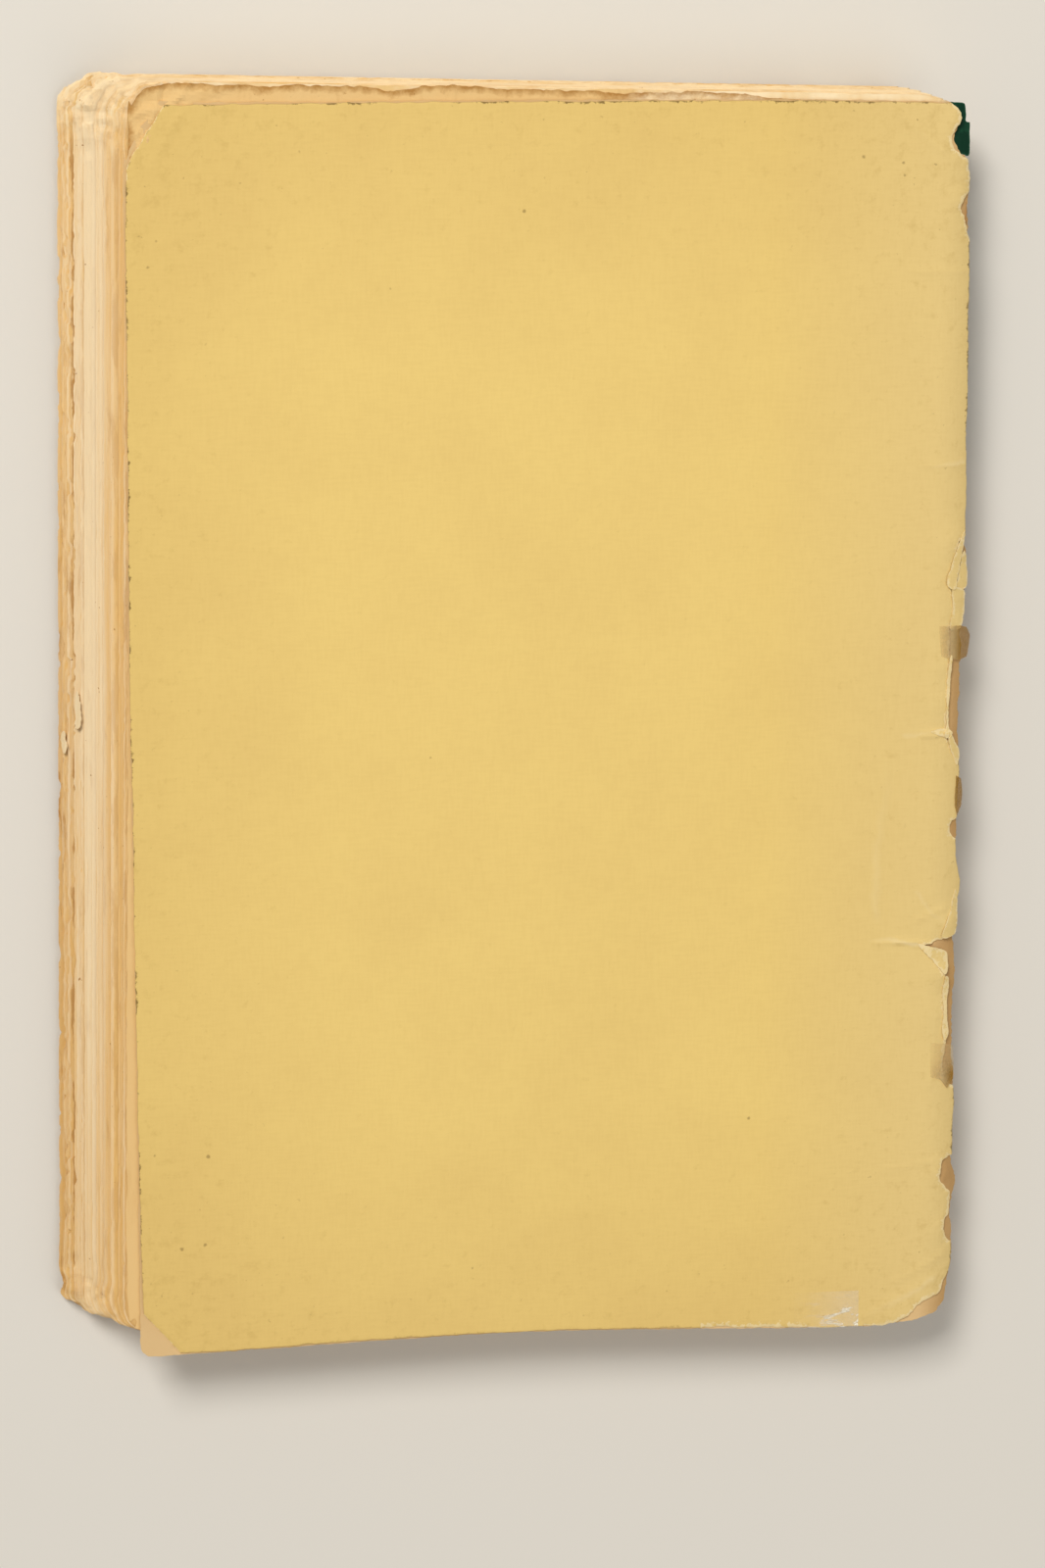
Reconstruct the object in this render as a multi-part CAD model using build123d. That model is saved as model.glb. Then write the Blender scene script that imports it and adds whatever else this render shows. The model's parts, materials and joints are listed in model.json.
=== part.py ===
from build123d import *
import math
import os

# A worn soft-cover cookbook, lying on its front cover with its back cover up.
# Millimetres. +X points to the spine, +Y to the head of the pages, +Z up.
# It is drawn about the middle of the back cover, and moved at the end so that the
# origin is the middle of its base.

# The covers: yellow card outside, tan paper pasted inside.
COVER_WIDTH = 153.0
COVER_HEIGHT = 229.0
CARD_THICKNESS = 0.35
LINER_THICKNESS = 0.25
COVER_CORNER = 1.8
HEAD_BOW = 0.4
TAIL_WEAR = 1.8
COVER_GAP = 0.2
FRONT_COVER_INSET = 1.4
FRONT_COVER_CORNER = 8.5

# The back cover rolls down over the spine.
ROLL_WIDTH = 5.6
ROLL_RADIUS = 12.0

# Wear of the back cover. Corner tears: (in from the side edge, in from the end edge).
CARD_HEAD_TEAR = ((7.4, -1.0), (5.8, 2.2), (3.9, 5.4), (1.7, 8.8), (0.6, 12.2), (-1.0, 14.5))
LINER_HEAD_TEAR = ((6.4, -1.0), (4.8, 2.0), (2.9, 5.0), (0.8, 8.2), (-1.0, 10.6))
CARD_TAIL_CREASE = ((-1.0, 9.1), (8.2, -1.0))
CARD_SPINE_CORNER = ((-1.0, 7.9), (1.4, 6.2), (3.9, 4.4), (6.0, 3.3), (7.6, 1.4), (10.6, -1.0))
LINER_SPINE_CORNER = ((-1.0, 8.6), (0.5, 5.2), (1.5, 2.4), (2.6, 1.6), (6.2, 0.5), (9.5, -1.0))
# The torn lobe and round bite at the head of the spine edge: (in from it, down from the head).
HEAD_BITE = ((-1.0, 9.8), (2.9, 8.1), (3.9, 6.1), (2.8, 3.9), (2.2, 2.3), (3.2, 0.5), (6.4, -1.0))
# Nicks along the spine edge: (height from the middle of the book, depth).
SPINE_NICKS = (
    ((99.0, 0.0), (96.2, 2.1), (94.6, 1.4), (92.6, 0.0)),
    ((13.4, 0.0), (12.0, 2.2), (4.5, 2.4), (-1.5, 1.8), (-4.5, 0.0)),
    ((-16.6, 0.0), (-17.2, 1.3), (-19.6, 0.9), (-20.4, 0.0)),
    ((-38.6, 0.0), (-40.6, 3.6), (-47.6, 1.9), (-60.6, 1.4), (-64.0, 0.0)),
    ((-82.0, 0.0), (-83.0, 1.5), (-86.5, 2.3), (-88.6, 0.0)),
    ((-93.0, 0.0), (-94.2, 1.3), (-97.2, 1.1), (-98.2, 0.0)),
)

# The leaves: folded sections that have slid, so the spine leans and the fore edges fan out.
# Overhangs past the back cover are listed from the front section to the back one.
LEAF_HEIGHT = 228.6
SECTION_THICKNESS = 2.0
FORE_OVERHANG = (12.8, 11.7, 9.9, 8.2, 6.2, 4.6, 2.4)
HEAD_OVERHANG = (3.9, 3.8, 3.6, 3.3, 3.1, 2.9, 2.7)
HEAD_FORE_CORNER = 6.5
TAIL_FORE_CORNER = 8.0
# The head corner at the spine is worn down in a long arc, which starts this far from the spine edge.
HEAD_WEAR_REACH = 14.5
HEAD_WEAR_RADIUS = 24.0
SPINE_LEAN = 11.5
SPINE_SETBACK = 2.9
FOLD_CROWN = 0.6
SKEW = -0.9

# On the backs of the sections: recessed cords, a paper lining, the remains of a green cloth.
CORD_COUNT = 5
CORD_END_GAP = 30.3
CORD_DIAMETER = 1.8
CORD_CLEARANCE = 0.05
LINING_THICKNESS = 0.5
LINING_END_GAP = 1.5
CLOTH_THICKNESS = 0.35
CLOTH_END_GAP = 5.6
CLOTH_WORN_BACK = 2.4
# Where the cloth still reaches the back cover: (height from the middle, length).
CLOTH_TONGUES = ((80.2, 5.6), (65.8, 5.8), (52.0, 6.0))
# The scrap that laps the roll at the head: (in from the spine edge, down from the head).
CLOTH_LAP = ((0.1, 3.2), (1.1, 3.3), (1.1, 0.2), (4.6, 0.2), (4.6, 9.0), (0.1, 8.6))

# A clear patch folded over the tail edge, and old brittle tape over the roll.
TAPE_THICKNESS = 0.1
CLEAR_TAPE_WIDTH = 12.4
CLEAR_TAPE_REACH = 7.2
CLEAR_TAPE_TURN_IN = 1.5
CLEAR_TAPE_SETBACK = 17.2
# Old tape outlines: (in from the spine edge, height from the middle).
OLD_TAPES = {
    "old_tape_upper": ((4.3, 19.4), (-0.6, 19.4), (-1.7, 17.6), (-1.2, 13.6), (0.2, 13.0), (3.8, 13.8)),
    "old_tape_middle": ((0.9, -8.6), (-0.6, -9.6), (-0.9, -13.8), (0.1, -16.2), (0.9, -14.2)),
    "old_tape_lower": ((4.4, -59.6), (-0.2, -60.2), (-0.5, -66.8), (1.0, -68.4), (2.4, -66.6), (4.2, -66.2)),
}

# Each cover turns about a line a little outside its spine edge.
HINGE_OUTSET = 0.9
BACK_HINGE_DROP = 2.6

COVER_THICKNESS = CARD_THICKNESS + LINER_THICKNESS
BLOCK_BOTTOM = COVER_THICKNESS + COVER_GAP
SECTION_COUNT = len(FORE_OVERHANG)
BLOCK_THICKNESS = SECTION_COUNT * SECTION_THICKNESS
BLOCK_TOP = BLOCK_BOTTOM + BLOCK_THICKNESS
BACK_BOTTOM = BLOCK_TOP + COVER_GAP
BACK_TOP = BACK_BOTTOM + COVER_THICKNESS
SPINE_EDGE = COVER_WIDTH / 2
HEAD_EDGE = COVER_HEIGHT / 2
ROLL_START = SPINE_EDGE - ROLL_WIDTH
ROLL_CENTRE_Z = BACK_TOP - ROLL_RADIUS
REACH = 2 * (COVER_WIDTH + COVER_HEIGHT)

skewed = Rot(0, 0, SKEW)


def along_spine(rim, length, middle=0.0):
    """A bar of constant X-Z section that runs in Y about the given middle."""
    return Pos(0, middle, 0) * extrude(make_face(Plane.XZ * rim), length / 2, both=True)


def upright(outline):
    """A tall prism on a plan outline."""
    return extrude(outline, REACH / 2, both=True)


def plan(points):
    """A flat plan face through the given corners."""
    return make_face(Polyline(*points, close=True))


def rolled_space(radius):
    """All that lies under a surface as flat as the back cover, with its roll at this radius."""
    top = ROLL_CENTRE_Z + radius
    side = ROLL_START + radius
    rim = Polyline((ROLL_START, top), (-REACH, top), (-REACH, -REACH), (side, -REACH),
                   (side, ROLL_CENTRE_Z))
    return along_spine(rim + CenterArc((ROLL_START, ROLL_CENTRE_Z), radius, 0, 90), REACH)


def rolled_layer(outer_radius, thickness, outline):
    """A sheet that follows the flat and the roll, cut to a plan outline."""
    sheet = rolled_space(outer_radius) - rolled_space(outer_radius - thickness)
    return sheet & upright(outline)


# The back cover's plan outline before wear, with a bowed head and a tail worn hollow.
def worn_outline():
    side, end = SPINE_EDGE, HEAD_EDGE
    rim = Polyline((-side, -end), (-side, end)) + ThreePointArc((-side, end), (0, end + HEAD_BOW), (side, end))
    rim += Line((side, end), (side, -end))
    rim += ThreePointArc((side, -end), (0, TAIL_WEAR - end), (-side, -end))
    return fillet(make_face(rim).vertices(), COVER_CORNER)


def corner_tear(points, across, along):
    """The plan face lost at one corner: across and along are -1 or 1, towards the corner."""
    corners = [(across * (SPINE_EDGE - inward), along * (HEAD_EDGE - down)) for inward, down in points]
    return plan([*corners, (across * REACH, along * REACH)])


def spine_nick(points):
    """The plan face lost at one nick in the spine edge."""
    mouth = [(REACH, points[-1][0]), (REACH, points[0][0])]
    return plan([(SPINE_EDGE - depth, height) for height, depth in points] + mouth)


def head_bite():
    """The rounded loss at the head of the spine edge."""
    points = [(SPINE_EDGE - inward, HEAD_EDGE - down) for inward, down in HEAD_BITE]
    rim = Spline(*points) + Polyline(points[-1], (REACH, points[-1][1]), (REACH, points[0][1]), points[0])
    return make_face(rim)


card_outline = worn_outline() - corner_tear(CARD_HEAD_TEAR, -1, 1) - corner_tear(CARD_TAIL_CREASE, -1, -1)
card_outline -= corner_tear(CARD_SPINE_CORNER, 1, -1) + head_bite()
for nick in SPINE_NICKS:
    card_outline -= spine_nick(nick)
lap_corners = [(SPINE_EDGE - inward, HEAD_EDGE - down) for inward, down in CLOTH_LAP]
liner_outline = worn_outline() - corner_tear(LINER_HEAD_TEAR, -1, 1)
liner_outline -= corner_tear(LINER_SPINE_CORNER, 1, -1) + head_bite()

back_cover = rolled_layer(ROLL_RADIUS, CARD_THICKNESS, card_outline)
back_liner = rolled_layer(ROLL_RADIUS - CARD_THICKNESS, LINER_THICKNESS, liner_outline)

# The leaning spine: its chord line, the way out of it and the way up it.
lean_rate = SPINE_LEAN / BLOCK_THICKNESS
spine_angle = math.atan(1 / lean_rate)
spine_out = Vector(math.sin(spine_angle), 0, -math.cos(spine_angle))
spine_up = Vector(math.cos(spine_angle), 0, math.sin(spine_angle))


def spine_x(height):
    """Where the chord of the spine stands at a height."""
    return SPINE_EDGE - SPINE_SETBACK - (BLOCK_TOP - height) * lean_rate


def on_spine(place, height, offset):
    """A plane on the spine: X out of it, Z up its slope, its origin off the chord."""
    return Plane(origin=Vector(spine_x(height), place, height) + spine_out * offset,
                 x_dir=spine_out, z_dir=spine_up)


def rounded(face, across, along, radius):
    """A flat face with one corner rounded: across and along are -1 or 1, towards the corner."""
    corner = max(face.vertices(), key=lambda vertex: across * vertex.X + along * vertex.Y)
    return fillet(corner, radius)


def leaf_outline(fore, head):
    """The plan outline of a leaf with its worn head corner, still uncut where it folds at the spine."""
    width = SPINE_EDGE - HEAD_WEAR_REACH + HEAD_WEAR_RADIUS - fore
    leaf = Pos(fore, head) * Rectangle(width, LEAF_HEIGHT, align=(Align.MIN, Align.MAX))
    return rounded(leaf, 1, 1, HEAD_WEAR_RADIUS)


def folded_section(number):
    """One folded section: a leaning slab with a crowned back and worn corners."""
    low = BLOCK_BOTTOM + number * SECTION_THICKNESS
    high = low + SECTION_THICKNESS
    crown = on_spine(0, (low + high) / 2, FOLD_CROWN).origin
    rim = Polyline((spine_x(low), low), (-REACH, low), (-REACH, high), (spine_x(high), high))
    rim += ThreePointArc((spine_x(high), high), (crown.X, crown.Z), (spine_x(low), low))
    leaf = leaf_outline(-SPINE_EDGE - FORE_OVERHANG[number], HEAD_EDGE + HEAD_OVERHANG[number])
    leaf = rounded(leaf, -1, 1, HEAD_FORE_CORNER)
    leaf = Pos(0, 0, low) * rounded(leaf, -1, -1, TAIL_FORE_CORNER)
    leaning = extrude(leaf, SECTION_THICKNESS / math.sin(spine_angle), dir=spine_up)
    return leaning & along_spine(rim, REACH)


# The text block: folded sections, with kerfs sawn across their backs for the cords.
cord_length = (BLOCK_THICKNESS - 2 * CORD_DIAMETER) / math.sin(spine_angle)
cord_seat = FOLD_CROWN - CORD_DIAMETER / 2
block_middle = (BLOCK_BOTTOM + BLOCK_TOP) / 2


def cord_bar(place, diameter):
    """A round bar that lies along the leaning spine."""
    return on_spine(place, block_middle, cord_seat) * Cylinder(diameter / 2, cord_length)


def kerf(place):
    """The round-bottomed slot of one cord, open to the back of the sections."""
    width = CORD_DIAMETER + 2 * CORD_CLEARANCE
    mouth = Box(CORD_DIAMETER, width, cord_length, align=(Align.MIN, Align.CENTER, Align.CENTER))
    return cord_bar(place, width) + on_spine(place, block_middle, cord_seat) * mouth


leaf_middle = HEAD_EDGE + HEAD_OVERHANG[0] - LEAF_HEIGHT / 2
cord_spacing = (LEAF_HEIGHT - 2 * CORD_END_GAP) / (CORD_COUNT - 1)
cord_places = [leaf_middle + cord_spacing * (number - (CORD_COUNT - 1) / 2) for number in range(CORD_COUNT)]
sections = Part() + [folded_section(number) for number in range(SECTION_COUNT)]
sections -= [kerf(place) for place in cord_places]

# The shoulder of the block, and all that is on its back, keep clear of the back cover's roll.
under_cover = rolled_space(ROLL_RADIUS - COVER_THICKNESS - COVER_GAP)
shoulder = rolled_space(ROLL_RADIUS - COVER_THICKNESS - COVER_GAP - CLOTH_THICKNESS)
above_front = Pos(0, 0, COVER_THICKNESS + CORD_CLEARANCE) * Box(
    REACH, REACH, REACH, align=(Align.CENTER, Align.CENTER, Align.MIN))
flat_zone = Pos(ROLL_START, 0, 0) * Box(REACH, REACH, REACH, align=(Align.MAX, Align.CENTER, Align.CENTER))
block_room = (shoulder + (under_cover & flat_zone)) & above_front

text_block = (skewed * sections) & block_room
cords = {f"sewing_cord_{number + 1}": skewed * cord_bar(place, CORD_DIAMETER)
         for number, place in enumerate(cord_places)}


def spine_strip(offset, thickness, length, middle, drop=0.0):
    """A strip on the back of the sections, its upper edge this far down the slope."""
    strip = Box(thickness, length, REACH, align=(Align.MIN, Align.CENTER, Align.CENTER))
    cut = Pos(0, 0, BLOCK_TOP - drop - REACH / 2) * Box(REACH, REACH, REACH)
    return skewed * (on_spine(middle, block_middle, offset) * strip & cut)


spine_lining = spine_strip(FOLD_CROWN, LINING_THICKNESS, LEAF_HEIGHT - 2 * LINING_END_GAP, leaf_middle)
lining_outline = Pos(0, -LINING_END_GAP) * leaf_outline(-SPINE_EDGE, HEAD_EDGE + HEAD_OVERHANG[-1])
spine_lining &= block_room & (skewed * upright(lining_outline))

cloth_offset = FOLD_CROWN + LINING_THICKNESS
cloth_middle = leaf_middle - CLOTH_END_GAP / 2
spine_cloth = spine_strip(cloth_offset, CLOTH_THICKNESS, LEAF_HEIGHT - 3 * CLOTH_END_GAP, cloth_middle,
                          CLOTH_WORN_BACK)
for place, length in CLOTH_TONGUES:
    spine_cloth += spine_strip(cloth_offset, CLOTH_THICKNESS, length, place)
lap_middle = HEAD_EDGE - (CLOTH_LAP[0][1] + CLOTH_LAP[-1][1]) / 2
lap_length = CLOTH_LAP[-1][1] - CLOTH_LAP[0][1]
spine_cloth += spine_strip(cloth_offset, CLOTH_THICKNESS, lap_length, lap_middle)
spine_cloth &= block_room
spine_cloth += (under_cover - shoulder) & upright(plan(lap_corners))

# The front cover is cut like the leaves, so it is hidden behind them.
front_width = COVER_WIDTH - FRONT_COVER_INSET
front_edge = spine_x(BLOCK_BOTTOM) + (cloth_offset + CLOTH_THICKNESS) / math.sin(spine_angle)
front_outline = Pos(front_edge, leaf_middle) * Rectangle(
    front_width, LEAF_HEIGHT - FRONT_COVER_INSET, align=(Align.MAX, Align.CENTER))
fore_corners = front_outline.vertices().sort_by(Axis.X)[:2]
front_outline = fillet(fore_corners, FRONT_COVER_CORNER)
front_cover = skewed * extrude(front_outline, CARD_THICKNESS)
front_liner = skewed * Pos(0, 0, CARD_THICKNESS) * extrude(front_outline, LINER_THICKNESS)

# The clear patch wraps the tail edge of the back cover's two layers.
patch_x = SPINE_EDGE - CLEAR_TAPE_SETBACK - CLEAR_TAPE_WIDTH / 2
wrap_top = BACK_TOP + TAPE_THICKNESS
wrap_bottom = BACK_BOTTOM - TAPE_THICKNESS
wrapped = back_cover + back_liner
tail_at_patch = (wrapped & Pos(patch_x, 0, 0) * Box(CLEAR_TAPE_WIDTH, REACH, REACH)).bounding_box().min.Y
patch = Box(CLEAR_TAPE_WIDTH, CLEAR_TAPE_REACH + TAPE_THICKNESS, wrap_top - wrap_bottom,
            align=(Align.CENTER, Align.MIN, Align.MIN))
turn_in = Box(CLEAR_TAPE_WIDTH, CLEAR_TAPE_REACH, TAPE_THICKNESS, align=(Align.CENTER, Align.MIN, Align.MIN))
clear_tape = Pos(patch_x, tail_at_patch - TAPE_THICKNESS, wrap_bottom) * patch - wrapped
clear_tape -= Pos(patch_x, tail_at_patch + CLEAR_TAPE_TURN_IN, wrap_bottom) * turn_in

old_tapes = {}
for name, points in OLD_TAPES.items():
    flake = plan([(SPINE_EDGE - inward, height) for inward, height in points])
    old_tapes[name] = rolled_layer(ROLL_RADIUS + TAPE_THICKNESS, TAPE_THICKNESS, flake)

pieces = {"text_block": text_block, **cords, "spine_lining": spine_lining, "spine_cloth": spine_cloth,
          "back_cover": back_cover, "back_liner": back_liner, "clear_tape": clear_tape, **old_tapes,
          "front_cover": front_cover, "front_liner": front_liner}

# The origin goes to the middle of the base.
whole = Compound(children=[Compound(piece.solids()) for piece in pieces.values()]).bounding_box()
to_origin = Pos(-whole.center().X, -whole.center().Y, -whole.min.Z)

os.makedirs("parts", exist_ok=True)
for name, piece in pieces.items():
    export_step(to_origin * piece, f"parts/{name}.step")

back_hinge = to_origin * Pos(SPINE_EDGE + HINGE_OUTSET, 0, BACK_TOP - BACK_HINGE_DROP)
front_hinge = to_origin * skewed * Pos(front_edge + HINGE_OUTSET / 3, 0, COVER_THICKNESS / 2)
print("back cover hinge", back_hinge.position)
print("front cover hinge", front_hinge.position, "axis", Vector(0, -1, 0).rotate(Axis.Z, SKEW))
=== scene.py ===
import bpy
import json
import math
import numpy as np
from mathutils import Euler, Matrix, Vector, geometry, kdtree


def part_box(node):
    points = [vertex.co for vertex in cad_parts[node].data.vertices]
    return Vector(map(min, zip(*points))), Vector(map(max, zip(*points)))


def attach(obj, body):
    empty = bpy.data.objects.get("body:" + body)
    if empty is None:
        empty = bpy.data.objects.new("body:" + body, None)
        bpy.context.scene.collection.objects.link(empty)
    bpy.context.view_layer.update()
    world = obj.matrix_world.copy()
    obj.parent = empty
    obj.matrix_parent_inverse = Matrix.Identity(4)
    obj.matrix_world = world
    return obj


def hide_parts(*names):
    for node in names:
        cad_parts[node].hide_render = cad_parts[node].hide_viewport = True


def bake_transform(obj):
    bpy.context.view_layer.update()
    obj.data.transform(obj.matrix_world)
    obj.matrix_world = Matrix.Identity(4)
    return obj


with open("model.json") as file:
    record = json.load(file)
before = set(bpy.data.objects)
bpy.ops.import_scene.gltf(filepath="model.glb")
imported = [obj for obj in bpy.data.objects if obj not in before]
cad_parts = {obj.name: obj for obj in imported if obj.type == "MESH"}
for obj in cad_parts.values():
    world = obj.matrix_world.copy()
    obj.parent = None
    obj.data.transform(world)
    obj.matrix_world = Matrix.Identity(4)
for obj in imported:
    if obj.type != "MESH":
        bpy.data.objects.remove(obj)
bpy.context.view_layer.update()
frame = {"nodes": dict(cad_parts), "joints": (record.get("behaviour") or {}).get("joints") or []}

# The leaves: uncoated book paper, browned from the edges inwards and gone brittle.
# Sixteen leaves fold together into each of seven sections, which have slid past each
# other, so the spine leans one way and the fore edges fan out the other.
MM = 0.001
card_low, card_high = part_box("back_cover")
block_low, block_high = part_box("text_block")
hinges = {joint["name"]: joint for joint in frame["joints"]}
COVER_X = (card_low.x + card_high.x) / 2 / MM
COVER_Y = hinges["back_cover_hinge"]["pos_m"][1] / MM
COVER_TOP = card_high.z / MM
SPINE_EDGE = card_high.x / MM - COVER_X
BLOCK_BOTTOM = block_low.z / MM
BLOCK_TOP = block_high.z / MM
front_axis = hinges["front_cover_hinge"]["axis"]
SKEW = math.atan2(front_axis[0], -front_axis[1])

HEAD_EDGE = 114.5
ROLL_RADIUS = 12.0
ROLL_WIDTH = 5.6
ROLL_START = SPINE_EDGE - ROLL_WIDTH
ROLL_CENTRE = COVER_TOP - ROLL_RADIUS

LEAF_HEIGHT = 228.6
LEAF_THICKNESS = 0.1
LEAVES_PER_SECTION = 16
FORE_OVERHANG = (12.8, 11.7, 9.9, 8.2, 6.2, 4.6, 2.4)
HEAD_OVERHANG = (3.9, 3.8, 3.6, 3.3, 3.1, 2.9, 2.7)
RAGGEDNESS = (0.5, 0.75, 0.4, 0.14, 0.14, 0.16, 0.25)
# For each section: how white its edges have bleached, which also lets the painted highlight show at its
# head; how much of them has browned, which also sets the painted shade beside its gaps; and how far its
# leaves have slipped past each other.
BLOOM = (0.2, 0.3, 0.8, 1.3, 0.9, 0.45, 0.1)
CRACKED = (1, 0.75, 0.2, 0.05, 0.1, 0.25, 0.35)
SLIP = (0.6, 0.6, 0.4, 0.2, 0.45, 0.5, 0.4)
SECTION_THICKNESS = (BLOCK_TOP - BLOCK_BOTTOM) / len(FORE_OVERHANG)
HEAD_CORNER = 6.5
TAIL_CORNER = 5.2
SPINE_SETBACK = 2.9
SPINE_SLIP = 11.5
LEAN = SPINE_SLIP / (BLOCK_TOP - BLOCK_BOTTOM)
# The folds at the spine, the gape of the fore edges, and the worn corner at the spine's head.
FOLD_START = 0.45
FOLD_REACH = 1.1
FOLD_COLUMNS = (0.25, 0.5, 0.75, 1.0)
GAPE = 0.1
HEAD_WEAR_START = SPINE_EDGE - 14.5
HEAD_WEAR_RADIUS = 24.0
CHIP_SIZE = 2.6
RIPPLE_CELLS = 96
# Fore corners where the whole stack is crumpled: middle and reach.
CRUMPLES = (((-82, 113.5), 8), ((-86, -107.5), 7))


def spine_chord(height):
    """Where the leaning spine stands at a height."""
    return SPINE_EDGE - SPINE_SETBACK - (BLOCK_TOP - height) * LEAN


def placed(points):
    """Millimetres about the middle of the back cover, to metres in the shared frame."""
    return (np.asarray(points) + (COVER_X, COVER_Y, 0)) * MM


def skewed(points):
    """Turns points with the skewed block."""
    x, y, z = np.asarray(points, float).T
    cosine, sine = math.cos(SKEW), math.sin(SKEW)
    return np.stack([x * cosine - y * sine, x * sine + y * cosine, z], 1)


def with_block(points):
    """Turns points with the skewed block, and eases its shoulder down under the rolled cover."""
    x, y, z = skewed(points).T
    over = np.clip(x - ROLL_START + 2, 0, ROLL_RADIUS - 2)
    room = BLOCK_TOP - (ROLL_RADIUS - 1) + np.sqrt((ROLL_RADIUS - 1) ** 2 - over**2)
    squeeze = (room - BLOCK_BOTTOM) / (BLOCK_TOP - BLOCK_BOTTOM)
    return np.stack([x, y, BLOCK_BOTTOM + (z - BLOCK_BOTTOM) * squeeze], 1)


def ripple(points, size, seed, shift=300):
    """Smooth random heights from -1 to 1 over plan points, with bumps of about this size."""
    grid = np.random.default_rng(seed).uniform(-1, 1, (RIPPLE_CELLS + 1,) * 2)
    cell = (np.asarray(points)[:, :2] + shift).astype(float) / size
    corner = np.floor(cell).astype(int)
    part = cell - corner
    part = part * part * (3 - 2 * part)
    i, j = (corner % RIPPLE_CELLS).T
    u, v = part.T
    low = grid[i, j] * (1 - u) + grid[i + 1, j] * u
    high = grid[i, j + 1] * (1 - u) + grid[i + 1, j + 1] * u
    return low * (1 - v) + high * v


def spaced(start, end, spacing):
    """Evenly spaced points from one place to another, without the last."""
    start, end = np.asarray(start, float), np.asarray(end, float)
    count = max(1, round(np.linalg.norm(end - start) / spacing))
    return [start + (end - start) * k / count for k in range(count)]


def corner_arc(centre, radius, start_degrees, spacing):
    """A quarter turn about a centre, counter-clockwise, without its last point."""
    count = max(4, round(radius * math.pi / 2 / spacing))
    angles = [math.radians(start_degrees + 90 * k / count) for k in range(count)]
    return [np.array((centre[0] + radius * math.cos(a), centre[1] + radius * math.sin(a))) for a in angles]


def fore_side(fore, head, tail, head_corner, tail_corner, spacing):
    """The fore side of a leaf or cover, from its head to its tail, with rounded corners."""
    rim = corner_arc((fore + head_corner, head - head_corner), head_corner, 90, 0.5)
    rim += spaced((fore, head - head_corner), (fore, tail + tail_corner), spacing)
    return rim + corner_arc((fore + tail_corner, tail + tail_corner), tail_corner, 180, 0.5)


def outward(rim):
    """The way out of a rim that runs counter-clockwise, at each of its points."""
    along = np.roll(rim, -1, 0) - np.roll(rim, 1, 0)
    out = np.stack([along[:, 1], -along[:, 0]], 1)
    return out / np.maximum(np.linalg.norm(out, axis=1, keepdims=True), 1e-9)


def inside(rim, points):
    """Which points lie inside a closed rim."""
    points = np.asarray(points, float)
    found = np.zeros(len(points), bool)
    for (x0, y0), (x1, y1) in zip(rim, np.roll(rim, -1, 0)):
        crosses = (y0 > points[:, 1]) != (y1 > points[:, 1])
        if crosses.any():
            reach = x0 + (points[:, 1] - y0) * (x1 - x0) / (y1 - y0 if y1 != y0 else 1e-9)
            found ^= crosses & (points[:, 0] < reach)
    return found


def to_rim(rim, points):
    """The number of the nearest point of a rim, and how far away it is, for each point."""
    tree = kdtree.KDTree(len(rim))
    for number, point in enumerate(rim):
        tree.insert((*point, 0), number)
    tree.balance()
    found = [tree.find((*point, 0)) for point in points]
    _, numbers, gaps = zip(*found)
    return np.array(numbers, int), np.array(gaps)


def lattice(low, high, spacing):
    """A square grid of points between two corners."""
    columns, rows = np.meshgrid(np.arange(low[0] + spacing / 2, high[0], spacing),
                                np.arange(low[1] + spacing / 2, high[1], spacing))
    return np.stack([columns.ravel(), rows.ravel()], 1)


def filled(rim, rings, grid, zones=()):
    """Triangles that fill a rim, from inner rings at these depths, a grid, and zones of a finer grid."""
    out = outward(rim)
    inner = np.zeros((0, 2))
    for depth, every in rings:
        ring = (rim - out * depth)[::every]
        inner = np.concatenate([inner, ring[to_rim(rim, ring)[1] > 0.85 * depth]])
    coarse = lattice(rim.min(0), rim.max(0), grid)
    fine = np.zeros((0, 2))
    for low, high, spacing in zones:
        fine = np.concatenate([fine, lattice(low, high, spacing)])
        coarse = coarse[((coarse < low) | (coarse > high)).any(1)]
    margin = max([depth for depth, every in rings], default=0)
    for points, spacing in ((coarse, grid), (fine, min([zone[2] for zone in zones], default=grid))):
        if len(points):
            inner = np.concatenate([inner, points[to_rim(rim, points)[1] > margin + 0.4 * spacing]])
    inner = inner[inside(rim, inner)]
    everything = [Vector(point) for point in rim] + [Vector(point) for point in inner]
    result = geometry.delaunay_2d_cdt(everything, [], [list(range(len(rim)))], 1, 1e-5)
    points, faces, sources = np.array(result[0], float), result[2], result[3]
    on_rim = np.array([min(source, default=len(rim)) for source in sources])
    on_rim[on_rim >= len(rim)] = -1
    return points, faces, on_rim


def new_object(name, data):
    """An object in the scene."""
    thing = bpy.data.objects.new(name, data)
    bpy.context.scene.collection.objects.link(thing)
    return thing


def new_piece(name, points, faces, attributes=None):
    """A mesh object from plain arrays, with named values at its points."""
    mesh = bpy.data.meshes.new(name)
    mesh.from_pydata([tuple(point) for point in points], [], faces)
    for key, values in (attributes or {}).items():
        values = np.asarray(values, float)
        kind = "FLOAT_VECTOR" if values.ndim == 2 else "FLOAT"
        layer = mesh.attributes.new(key, kind, "POINT")
        layer.data.foreach_set("vector" if values.ndim == 2 else "value", values.astype(np.float32).ravel())
    return new_object(name, mesh)


def thicken(piece, thickness, offset):
    """Gives a sheet its thickness: below it at -1, above it at 1, and on both sides at 0."""
    body = piece.modifiers.new("body", "SOLIDIFY")
    body.thickness = thickness
    body.offset = offset


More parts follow.
